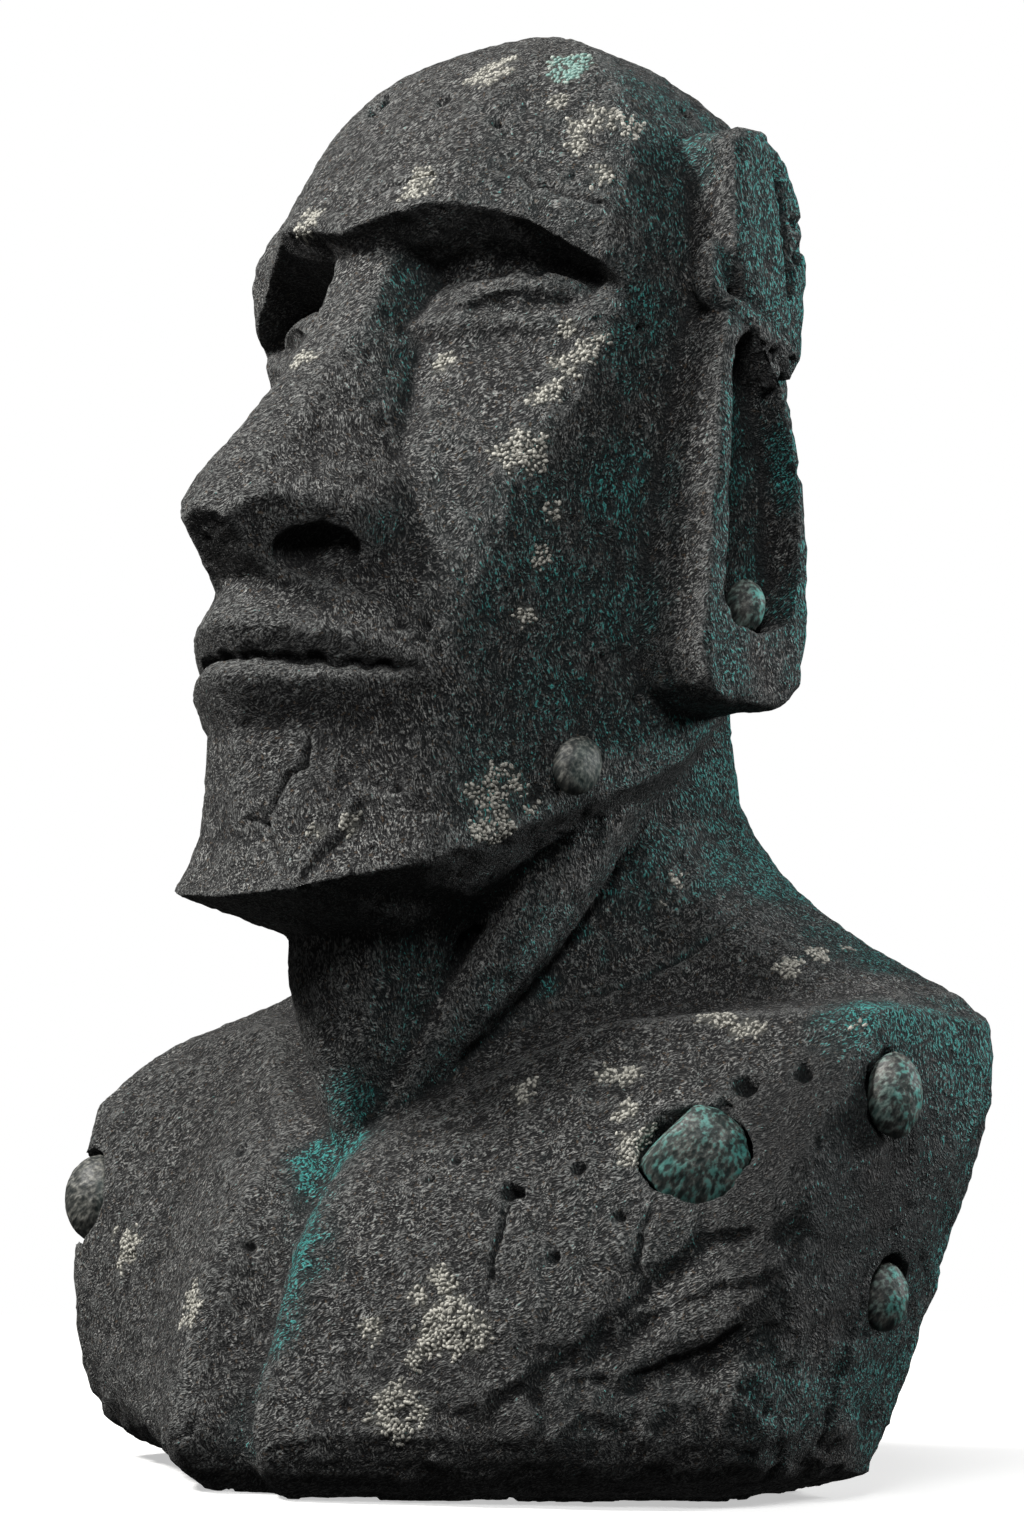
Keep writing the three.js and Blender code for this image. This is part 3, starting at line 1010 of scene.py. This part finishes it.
# Where blue-green is laid: patina in the chest's groove and on the collar; patina with painted
# teal rim light on the left shoulder and arm, the left ear, the cheek and temple beside it,
# and the nape.
PATINA_AND_RIM_PATCHES: tuple[RoundPatch, ...] = (
    RoundPatch((20, 251, 353), 40, 0.9),
    RoundPatch((5, 262, 290), 54, 1.0),
    RoundPatch((26, 300, 255), 46, 0.9),
    RoundPatch((50, 338, 220), 46, 0.95),
    RoundPatch((48, 352, 185), 38, 0.85),
    RoundPatch((46, 362, 150), 40, 0.75),
    RoundPatch((30, 356, 105), 38, 0.6),
    RoundPatch((5, 350, 60), 40, 0.5),
    RoundPatch((185, 24, 582), 16, 0.8),
    RoundPatch((167, 57, 545), 16, 0.8),
    RoundPatch((149, 85, 508), 15, 0.8),
    RoundPatch((136, 116, 458), 16, 0.75),
    RoundPatch((475, 20, 415), 75, 0.95),
    RoundPatch((490, -70, 385), 90, 0.85),
    RoundPatch((475, -110, 260), 80, 0.65),
    RoundPatch((455, 0, 130), 60, 0.5),
    RoundPatch((322, -40, 1190), 60, 0.9),
    RoundPatch((322, -50, 1100), 55, 0.9),
    RoundPatch((322, -36, 940), 55, 0.85),
    RoundPatch((322, -46, 800), 55, 0.85),
    RoundPatch((240, 40, 720), 60, 0.7),
    RoundPatch((225, 100, 690), 45, 0.6),
    RoundPatch((215, 40, 1290), 55, 0.75),
    RoundPatch((262, 70, 1230), 60, 0.7),
    RoundPatch((236, 108, 900), 60, 0.75),
    RoundPatch((230, 100, 800), 55, 0.7),
    RoundPatch((258, 110, 1060), 52, 0.7),
    RoundPatch((118, 290, 870), 26, 0.5),
    RoundPatch((165, -70, 640), 95, 0.8),
    RoundPatch((220, -110, 560), 95, 0.8),
    RoundPatch((345, -120, 485), 95, 0.7),
)


@dataclass
class Bust:
    """The carved head, neck and chest, as one skin of stone."""

    node: str = "bust"
    voxel: float = 3.0 * MM
    wear: int = 3
    most_triangles: int = 194_000
    foot: float = 2.0 * MM
    swell: float = 150.0 * MM
    facet: float = 52.0 * MM
    crumb: float = 19.0 * MM
    chunk: float = 60.0 * MM
    vesicle: float = 10.0 * MM
    stroke: Spot = (8.0 * MM, 8.0 * MM, 26.0 * MM)
    lean: float = radians(62)
    flute: Spot = (15.0 * MM, 15.0 * MM, 80.0 * MM)
    mouth: Spot = (20, 345, 750)
    fill_core: float = 22.0 * MM
    fill_reach: float = 40.0 * MM
    fill_rounds: int = 160

    def built(self, finish: bpy.types.Material) -> bpy.types.Object:
        """Makes the stone skin.

        Args:
            finish: The stone's material.

        Returns:
            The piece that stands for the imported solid.
        """
        piece = skinned(self.node, self.voxel)
        mesh = piece.data
        places, _ = arrays(mesh)
        settle(mesh, relaxed(mesh, places, self.wear))
        settle(mesh, self._filled(mesh))
        places, normals = arrays(mesh)
        skin = Skin(places.copy(), normals)
        for push in PUSHES:
            inside, shift = push.moved(skin)
            places[inside] += shift
        settle(mesh, places)
        places, normals = arrays(mesh)
        places = places - normals * self._worked(Skin(places, normals))[:, None]
        settle(mesh, self._trued(relaxed(mesh, places, 1)))
        ratio = self.most_triangles / triangles(piece)
        remade(piece, "DECIMATE", ratio=ratio, use_collapse_triangulate=True)
        smooth_shaded(piece.data)
        self._noted(piece.data)
        piece.data.materials.clear()
        piece.data.materials.append(finish)
        return piece

    def _filled(self, mesh: bpy.types.Mesh) -> np.ndarray:
        """Smooths the old breaks into the planes beside them.

        Args:
            mesh: The skin's mesh.

        Returns:
            The new places of its vertices.
        """
        places, normals = arrays(mesh)
        skin = Skin(places, normals)
        share = np.zeros(len(places))
        for line in FILLED:
            path = np.array([spot(place) for place in line])
            inside = skin.within(path, self.fill_reach * 1.1)
            far, _ = skin.from_path(path, inside)
            near = ease(far, self.fill_reach, self.fill_core)
            share[inside] = np.maximum(share[inside], near)
        return relaxed(mesh, places, self.fill_rounds, share)

    def _worked(self, skin: Skin) -> np.ndarray:
        """Works the skin with tools, breaks and weather.

        Args:
            skin: The surface before the work.

        Returns:
            How far each vertex is lowered, in metres.
        """
        places, normals = skin.places, skin.normals
        aside = ease(np.abs(normals[:, 0]), 0.45, 0.85)
        height = places[:, 2]
        # The block's own unevenness, and the faces it broke along, coarser near the foot.
        depth = 1.6 * MM * (Noise(3).at(places, self.swell) + 0.4)
        broken = 0.8 + 1.2 * aside + 3.4 * ease(height, 0.33, 0.18)
        depth += broken * MM * Noise(5).facets(places, self.facet)
        # The mouth is finished finer than the rest.
        from_mouth = np.linalg.norm(places - spot(self.mouth), axis=1)
        calm = 0.35 + 0.65 * ease(from_mouth, 0.07, 0.17)
        depth *= calm
        depth += 1.7 * MM * calm * Noise(9).layers(places, self.crumb, 3)
        depth += 4.0 * MM * ease(height, 0.12, 0.04) * Noise(12).layers(places, self.chunk, 2)
        depth += 2.6 * MM * ease(Noise(77).at(places, self.vesicle), 0.45, 0.75)
        # Slanting pick strokes on the front, upright flutes on the sides.
        strokes = Noise(14).ridges(places @ self._slanted(), self.stroke)
        depth -= 1.3 * MM * (1.0 - aside) * (strokes - 0.6)
        depth -= 2.2 * MM * aside * (Noise(21).ridges(places, self.flute) - 0.7)
        for mark in MARKS:
            inside, sunk = mark.sunk(skin)
            depth[inside] = np.maximum(depth[inside] + sunk, depth[inside])
        return depth

    def _slanted(self) -> np.ndarray:
        """A turn that lays the strokes of the front on a slant."""
        rise, run = sin(self.lean), cos(self.lean)
        return np.array([[run, 0, rise], [0, 1, 0], [-rise, 0, run]])

    def _trued(self, places: np.ndarray) -> np.ndarray:
        """The places with the sawn underside flat on the ground."""
        low = places[:, 2:] < self.foot
        return np.where(low & np.array([False, False, True]), 0.0, places)

    def _noted(self, mesh: bpy.types.Mesh) -> None:
        """Notes wear, painted shade, and patina with painted rim light, for the material to read.

        Args:
            mesh: The finished skin.
        """
        places, normals = arrays(mesh)
        height = places[:, 2]
        neck = ease(height, 0.40, 0.47) * ease(height, 0.66, 0.60)
        upright = ease(np.abs(normals[:, 0]), 0.54, 0.66) + neck
        note(mesh, "plumb", np.clip(upright, 0, 1))
        # Proud edges count as worn; their paler dust is partly wear, partly a painted highlight.
        proud = np.einsum("ij,ij->i", places - relaxed(mesh, places, 6), normals)
        note(mesh, "worn", ease(proud, 0.15 * MM, 1.1 * MM) * 0.85)
        # Painted shade: small creases and broad recesses are darkened.
        sunken = np.einsum("ij,ij->i", places - relaxed(mesh, places, 45), normals)
        painted_shade = np.maximum(
            ease(proud, -0.5 * MM, -2.2 * MM), ease(sunken, -3.5 * MM, -9.0 * MM)
        )
        # Painted shade: the shade patches darken the stone round their middles.
        darkening = np.zeros(len(places))
        for patch in SHADE_PATCHES:
            darkening = np.maximum(darkening, patch.spread(places, 0.0, 1.1, 0.5))
        # Painted shade under things: faces turned down are darkened.
        under = ease(-normals[:, 2], 0.15, 0.75) * 0.65
        painted_shade = np.maximum.reduce([painted_shade * 0.8, darkening, under])
        note(mesh, "painted_shade", painted_shade)
        patina_and_rim_light = self._patina_and_rim_laid(places, normals)
        note(mesh, "patina_and_rim_light", np.clip(patina_and_rim_light, 0, 1) * (1 - 0.8 * painted_shade))

    def _patina_and_rim_laid(self, places: np.ndarray, normals: np.ndarray) -> np.ndarray:
        """Spreads the patina, with painted teal rim light on the left side and on what looks
        backwards there, towards the rim lamp.

        Args:
            places: The vertices' places.
            normals: The vertices' normals.

        Returns:
            How thick it lies, 0 to 1.
        """
        forward = -places[:, 1]
        clouds = Noise(31).layers(places, 70 * MM, 3)
        rear = ease(forward, 0.14, -0.04)
        # Painted teal rim light: faces turned left, and those turned back towards the rim lamp.
        turned = ease(normals[:, 0], 0.30, 0.85) * (1 - ease(forward, 0.22, 0.30))
        patina_and_rim_light = turned * (0.6 + 0.2 * rear) * ease(clouds, -0.8, 0.2)
        behind = ease(normals @ np.array([0.75, 0.66, 0.1]), 0.72, 0.97) * (0.55 + 0.4 * rear)
        patina_and_rim_light = np.maximum(patina_and_rim_light, behind * ease(clouds, -0.9, 0.0))
        ragged = 0.4 * clouds + 0.3 * Noise(32).layers(places, 18 * MM, 3)
        for patch in PATINA_AND_RIM_PATCHES:
            patina_and_rim_light = np.maximum(patina_and_rim_light, patch.spread(places, ragged, 1.25, 0.3))
        return patina_and_rim_light


@dataclass(frozen=True)
class Flat:
    """A face worn flat on a cobble: the way it looks, and its distance from the middle in mm."""

    way: Spot
    reach: float


@dataclass
class Cobble:
    """A water-worn stone bedded in the bust."""

    node: str
    stain: Stain
    seed: int
    flats: tuple[Flat, ...] = ()
    swell: float = 1.0
    patina_and_rim_light: float = 0.25
    voxel: float = 2.0 * MM
    wear: int = 16
    dent: float = 30.0 * MM
    grain: float = 9.0 * MM

    def built(self, finish: bpy.types.Material) -> bpy.types.Object:
        """Makes the stone.

        Args:
            finish: The stone's material.

        Returns:
            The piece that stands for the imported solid.
        """
        piece = skinned(self.node, self.voxel)
        mesh = piece.data
        places, _ = arrays(mesh)
        middle = (places.min(axis=0) + places.max(axis=0)) / 2.0
        places = middle + (places - middle) * self.swell
        for flat in self.flats:
            way = pointed(flat.way)
            over = (places - middle) @ way - flat.reach * MM
            places -= np.maximum(over, 0.0)[:, None] * way * 0.9
        settle(mesh, relaxed(mesh, places, self.wear))
        places, normals = arrays(mesh)
        # Patina over the cobble, and painted teal rim light on its left side, turned to the rim
        # lamp.
        note(mesh, "patina_and_rim_light", np.maximum(self.patina_and_rim_light, ease(normals[:, 0], 0.45, 0.9)))
        depth = 1.0 * MM * (Noise(self.seed).facets(places, self.dent) + 0.5)
        depth += 0.7 * MM * Noise(self.seed + 3).layers(places, self.grain, 2)
        settle(mesh, places - normals * np.maximum(depth, 0.0)[:, None])
        smooth_shaded(mesh)
        mesh.materials.clear()
        mesh.materials.append(finish)
        return piece


@dataclass(frozen=True)
class Patch:
    """A patch of lichen: where it grows, its radius in millimetres and how green it is."""

    place: Spot
    radius: float
    green: float = 0.0


PATCHES: tuple[Patch, ...] = (
    Patch((75, 130, 1311), 30),
    Patch((150, 107, 1304), 25, 0.7),
    Patch((170, 128, 1268), 8),
    Patch((205, 123, 1243), 22),
    Patch((202, 136, 1225), 12),
    Patch((234, 137, 1191), 12),
    Patch((232, 101, 1239), 12),
    Patch((83, 228, 1187), 20),
    Patch((-64, 239, 1170), 20),
    Patch((-7, 284, 1037), 14),
    Patch((97, 210, 1028), 14),
    Patch((226, 149, 1028), 12),
    Patch((214, 162, 1010), 16),
    Patch((204, 177, 987), 14),
    Patch((236, 139, 1042), 8),
    Patch((210, 152, 1048), 8),
    Patch((196, 201, 936), 25),
    Patch((214, 169, 878), 9),
    Patch((207, 182, 834), 10),
    Patch((199, 194, 787), 9),
    Patch((187, 220, 613), 35),
    Patch((109, 324, 600), 8),
    Patch((86, 343, 591), 7),
    Patch((197, 35, 531), 6),
    Patch((203, 20, 552), 6),
    Patch((334, -33, 484), 14),
    Patch((333, -3, 474), 14),
    Patch((334, -79, 489), 10),
    Patch((334, 93, 426), 14),
    Patch((364, 84, 420), 14),
    Patch((455, 39, 419), 8),
    Patch((198, 196, 362), 15),
    Patch((278, 159, 376), 15),
    Patch((304, 171, 343), 12),
    Patch((323, 173, 319), 20),
    Patch((-322, 242, 207), 26),
    Patch((-366, 231, 220), 10),
    Patch((-84, 354, 162), 25),
    Patch((139, 328, 152), 12),
    Patch((190, 295, 179), 25),
    Patch((217, 288, 154), 28),
    Patch((189, 305, 140), 18),
    Patch((176, 326, 84), 25),
    Patch((-90, -200, 1060), 22),
    Patch((-140, -200, 1010), 12),
    Patch((70, -200, 330), 28),
    Patch((130, -200, 270), 14),
    Patch((-300, -200, 190), 20),
    Patch((-480, -70, 200), 18),
)


@dataclass
class Lichens:
    """Rosettes of small lobes that lie on the stone and point outwards from their middle."""

    lobe: Spot = (6.4 * MM, 4.0 * MM, 3.0 * MM)
    spacing: float = 3.0 * MM
    density: float = 260000.0
    rosette: float = 7.5 * MM
    single: float = 12.0
    crowding: float = 6.0
    wander: float = 6.0 * MM
    crumb: float = 2.5 * MM
    unevenness: float = 2.2 * MM

    def built(self, host: bpy.types.Object, finish: bpy.types.Material) -> bpy.types.Object:
        """Makes all rosettes as one piece.

        Args:
            host: The stone they grow on.
            finish: The lichen's material.

        Returns:
            The piece.
        """
        piece = bpy.data.objects.new("lichen_crust", self._bed(host.data))
        bpy.context.scene.collection.objects.link(piece)
        modifier = piece.modifiers.new("Rosettes", "NODES")
        modifier.node_group = self._tree(finish)
        given = {"Lobe": self.lobe, "Spacing": self.spacing, "Density": self.density}
        for item in modifier.node_group.interface.items_tree:
            if item.name in given:
                modifier[item.identifier] = given[item.name]
        bake(piece)
        smooth_shaded(piece.data)
        return piece

    def _bed(self, stone: bpy.types.Mesh) -> bpy.types.Mesh:
        """Cuts out the faces of the stone that the lichen covers, and notes what steers the lobes.

        Args:
            stone: The stone's mesh, which also takes a note of the cover.

        Returns:
            The faces as a mesh of their own.
        """
        places, _ = arrays(stone)
        cover, green, outward = self._grown(places)
        corners = np.zeros(len(stone.loops), np.int64)
        stone.loops.foreach_get("vertex_index", corners)
        faces = corners.reshape(-1, 3)
        kept = faces[cover[faces].max(axis=1) > 0.02]
        used, order = np.unique(kept, return_inverse=True)
        bed = bpy.data.meshes.new("lichen_bed")
        bed.from_pydata(places[used].tolist(), [], order.reshape(-1, 3).tolist())
        bed.update()
        note(stone, "crust", cover)
        note(bed, "cover", cover[used])
        note(bed, "green", green[used])
        vector = bed.attributes.new("outward", "FLOAT_VECTOR", "POINT")
        vector.data.foreach_set("vector", outward[used].astype(np.float32).ravel())
        return bed

    def _grown(self, places: np.ndarray) -> tuple[np.ndarray, np.ndarray, np.ndarray]:
        """Grows the patches: a small one is a single rosette, a large one a crowd of them.

        Args:
            places: The stone's vertices.

        Returns:
            For each vertex its cover and its green, 0 to 1, and its way out of the rosette.
        """
        jitter = Noise(44).layers(places, 14 * MM, 2)
        cover = np.zeros(len(places))
        green = np.zeros(len(places))
        outward = np.zeros((len(places), 3))
        chance = np.random.default_rng(58)
        for patch in PATCHES:
            seat = int(np.argmin(np.linalg.norm(places - spot(patch.place), axis=1)))
            middles, radius = [seat], patch.radius * MM
            if patch.radius > self.single:
                gaps = np.linalg.norm(places - places[seat], axis=1)
                near = np.flatnonzero(gaps < radius * 0.9)
                middles = chance.choice(near, int((patch.radius / self.crowding) ** 2))
                radius = self.rosette
            for middle in middles:
                away = places - places[middle]
                far = np.linalg.norm(away, axis=1) / (radius * chance.uniform(0.75, 1.25))
                share = ease(far + 0.35 * jitter, 1.05, 0.8)
                more = share > cover
                cover = np.where(more, share, cover)
                green = np.where(more, patch.green, green)
                outward[more] = away[more]
        return cover, green, outward

    def _tree(self, finish: bpy.types.Material) -> bpy.types.NodeTree:
        """Makes the tree that sets lobes on the bed.

        Args:
            finish: The lichen's material.

        Returns:
            The tree, with inputs for the lobe's size, its spacing and the greatest density.
        """
        tree = bpy.data.node_groups.new("Rosettes", "GeometryNodeTree")
        for name, kind in (
            ("Geometry", "Geometry"), ("Lobe", "Vector"), ("Spacing", "Float"), ("Density", "Float")
        ):
            tree.interface.new_socket(name, in_out="INPUT", socket_type=f"NodeSocket{kind}")
        tree.interface.new_socket("Geometry", in_out="OUTPUT", socket_type="NodeSocketGeometry")
        add = Wiring(tree).add
        given = add("NodeGroupInput")
        cover = add("GeometryNodeInputNamedAttribute", {"Name": "cover"}, data_type="FLOAT")[0]
        scatter = add(
            "GeometryNodeDistributePointsOnFaces",
            {
                "Mesh": given["Geometry"],
                "Distance Min": given["Spacing"],
                "Density Max": given["Density"],
                "Density Factor": cover,
                "Seed": 7,
            },
            distribute_method="POISSON",
        )
        # A lobe lies flat on the stone and points out of its rosette, give or take a little.
        outward = add(
            "GeometryNodeInputNamedAttribute", {"Name": "outward"}, data_type="FLOAT_VECTOR"
        )[0]
        astray = {0: (-self.wander,) * 3, 1: (self.wander,) * 3, "Seed": 3}
        wander = add("FunctionNodeRandomValue", astray, data_type="FLOAT_VECTOR")[0]
        aim = add("ShaderNodeVectorMath", {0: outward, 1: wander}, operation="ADD")[0]
        normal = {"Vector": scatter["Normal"]}
        upright = add("FunctionNodeAlignRotationToVector", normal, axis="Z")[0]
        heading = {"Rotation": upright, "Vector": aim}
        laid = add("FunctionNodeAlignRotationToVector", heading, axis="X", pivot_axis="Z")[0]
        ball = add("GeometryNodeMeshIcoSphere", {"Radius": 0.5, "Subdivisions": 1})[0]
        shape = add("GeometryNodeTransform", {"Geometry": ball, "Scale": given["Lobe"]})[0]
        growth = {2: 0.65, 3: 1.25, "Seed": 11}
        size = add("FunctionNodeRandomValue", growth, data_type="FLOAT")[1]
        lobes = add(
            "GeometryNodeInstanceOnPoints",
            {"Points": scatter["Points"], "Instance": shape, "Rotation": laid, "Scale": size},
        )[0]
        real = add("GeometryNodeRealizeInstances", {0: lobes})[0]
        jag = add("ShaderNodeTexNoise", {"Scale": 1 / self.crumb})[1]
        shift = add("ShaderNodeVectorMath", {0: jag, 1: (0.5,) * 3}, operation="SUBTRACT")[0]
        small = add("ShaderNodeVectorMath", {0: shift, 3: self.unevenness}, operation="SCALE")[0]
        moved = add("GeometryNodeSetPosition", {"Geometry": real, "Offset": small})[0]
        painted = add("GeometryNodeSetMaterial", {"Geometry": moved, "Material": finish})[0]
        add("NodeGroupOutput", {0: painted})
        return tree


# --- studio ---


@dataclass(frozen=True)
class Lamp:
    """A square soft light: its place and size in metres, power in watts and colour."""

    name: str
    place: Spot
    size: float
    power: float
    colour: str = "#ffffff"

    def lit(self, target: Spot) -> None:
        """Sets the light up.

        Args:
            target: The place it looks at.
        """
        data = bpy.data.lights.new(self.name, "AREA")
        data.size = self.size
        data.energy = self.power
        data.color = tone(self.colour)[:3]
        light = bpy.data.objects.new(self.name, data)
        light.location = self.place
        aim = Vector(target) - Vector(self.place)
        light.rotation_euler = aim.to_track_quat("-Z", "Y").to_euler()
        bpy.context.scene.collection.objects.link(light)


LAMPS: tuple[Lamp, ...] = (
    Lamp("key", (-2.0, -2.8, 4.0), 1.0, 305.0, "#fffdfa"),
    Lamp("fill", (2.6, -2.2, 3.2), 1.4, 80.0),
    Lamp("rim", (2.4, 3.0, 1.9), 1.0, 100.0),
)


@dataclass(frozen=True)
class Studio:
    """A pale floor, soft light from the upper left front, and the camera."""

    middle: Spot = (0.0, 0.0, 0.7)
    distance: float = 4.5
    azimuth: float = 48.0
    height: float = 0.38
    swing: float = 0.33938292
    tilt: float = 3.656
    lens: float = 110.79
    sensor: float = 36.0
    floor_reach: float = 3.0
    floor_sides: int = 96
    ambient: float = 0.05

    def built(self) -> None:
        """Makes the floor, the lights and the camera."""
        self._floor()
        self._sky()
        for lamp in LAMPS:
            lamp.lit(self.middle)
        self._camera()
        bpy.context.scene.view_settings.view_transform = "Standard"

    def _floor(self) -> None:
        """Lays a wide pale floor under the underside."""
        mesh = bpy.data.meshes.new("floor")
        turns = [2 * pi * side / self.floor_sides for side in range(self.floor_sides)]
        rim = [(self.floor_reach * cos(turn), self.floor_reach * sin(turn), 0.0) for turn in turns]
        mesh.from_pydata(rim, [], [tuple(range(self.floor_sides))])
        floor = bpy.data.objects.new("floor", mesh)
        # The floor doesn't light the dark undersides, as over black cloth.
        floor.visible_diffuse = False
        floor.visible_glossy = False
        bpy.context.scene.collection.objects.link(floor)
        material, wiring = fresh_material("floor_pale")
        shader = wiring.add(
            "ShaderNodeBsdfPrincipled",
            {
                "Base Color": tone("#f4f4f3"),
                "Roughness": 0.8,
                "Emission Color": (1, 1, 1, 1),
                "Emission Strength": 0.5,
            },
        )[0]
        wiring.add("ShaderNodeOutputMaterial", {0: shader})
        mesh.materials.append(material)

    def _sky(self) -> None:
        """Puts white round the object, with a dimmer even light from it."""
        world = bpy.data.worlds.new("studio")
        world.use_nodes = True
        world.node_tree.nodes.clear()
        add = Wiring(world.node_tree).add
        white = add("ShaderNodeBackground", {0: (1, 1, 1, 1), 1: 1.0})[0]
        dim = add("ShaderNodeBackground", {0: (1, 1, 1, 1), 1: self.ambient})[0]
        seen = add("ShaderNodeLightPath")["Is Camera Ray"]
        both = add("ShaderNodeMixShader", {0: seen, 1: dim, 2: white})[0]
        add("ShaderNodeOutputWorld", {0: both})
        bpy.context.scene.world = world

    def _camera(self) -> None:
        """Sets the camera, level with the chest and to the figure's left front."""
        data = bpy.data.cameras.new("camera")
        data.lens = self.lens
        data.sensor_width = self.sensor
        camera = bpy.data.objects.new("camera", data)
        turn, swing, tilt = radians(self.azimuth), radians(self.swing), radians(self.tilt)
        camera.location = (self.distance * sin(turn), -self.distance * cos(turn), self.height)
        aside = Vector((cos(turn), sin(turn), 0.0))
        ahead = Vector((-sin(turn), cos(turn), 0.0))
        ahead = (ahead * cos(swing) - aside * sin(swing)).normalized()
        aim = ahead * cos(tilt) + Vector((0.0, 0.0, 1.0)) * sin(tilt)
        camera.rotation_euler = aim.to_track_quat("-Z", "Y").to_euler()
        bpy.context.scene.collection.objects.link(camera)
        bpy.context.scene.camera = camera


COBBLES: tuple[Cobble, ...] = (
    Cobble(
        "cobble_chest",
        Stain.TURQUOISE,
        seed=3,
        flats=(
            Flat((-0.47, 0.52, 0.7), 36),
            Flat((-0.47, 0.52, -0.6), 43),
            Flat((0.573, -0.637, -0.515), 39),
            Flat((0.669, -0.743, 0.2), 46),
        ),
        swell=1.08,
        patina_and_rim_light=0.75,
    ),
    Cobble("cobble_shoulder", Stain.TURQUOISE, 12),
    Cobble("cobble_arm_left", Stain.TURQUOISE, 23),
    Cobble("cobble_ear", Stain.TURQUOISE, 31),
    Cobble("cobble_arm_right", Stain.DARK, 42),
    Cobble("cobble_jaw", Stain.DARK, 55),
)


def main() -> None:
    """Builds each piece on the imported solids, then the studio."""
    logging.basicConfig(level=logging.INFO, format="%(name)s: %(message)s")
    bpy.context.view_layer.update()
    stone = Bust().built(Basalt().made())
    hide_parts("bust")
    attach(stone, "root")
    log.info("bust: %d triangles", triangles(stone))
    finishes = {stain: WaterWornStone(stain).made() for stain in Stain}
    for cobble in COBBLES:
        piece = cobble.built(finishes[cobble.stain])
        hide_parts(cobble.node)
        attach(piece, "root")
        log.info("%s: %d triangles", cobble.node, triangles(piece))
    crust = Lichens().built(stone, CrustLichen().made())
    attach(crust, "root")
    log.info("lichen: %d triangles", triangles(crust))
    Studio().built()


if __name__ == "__main__":
    main()
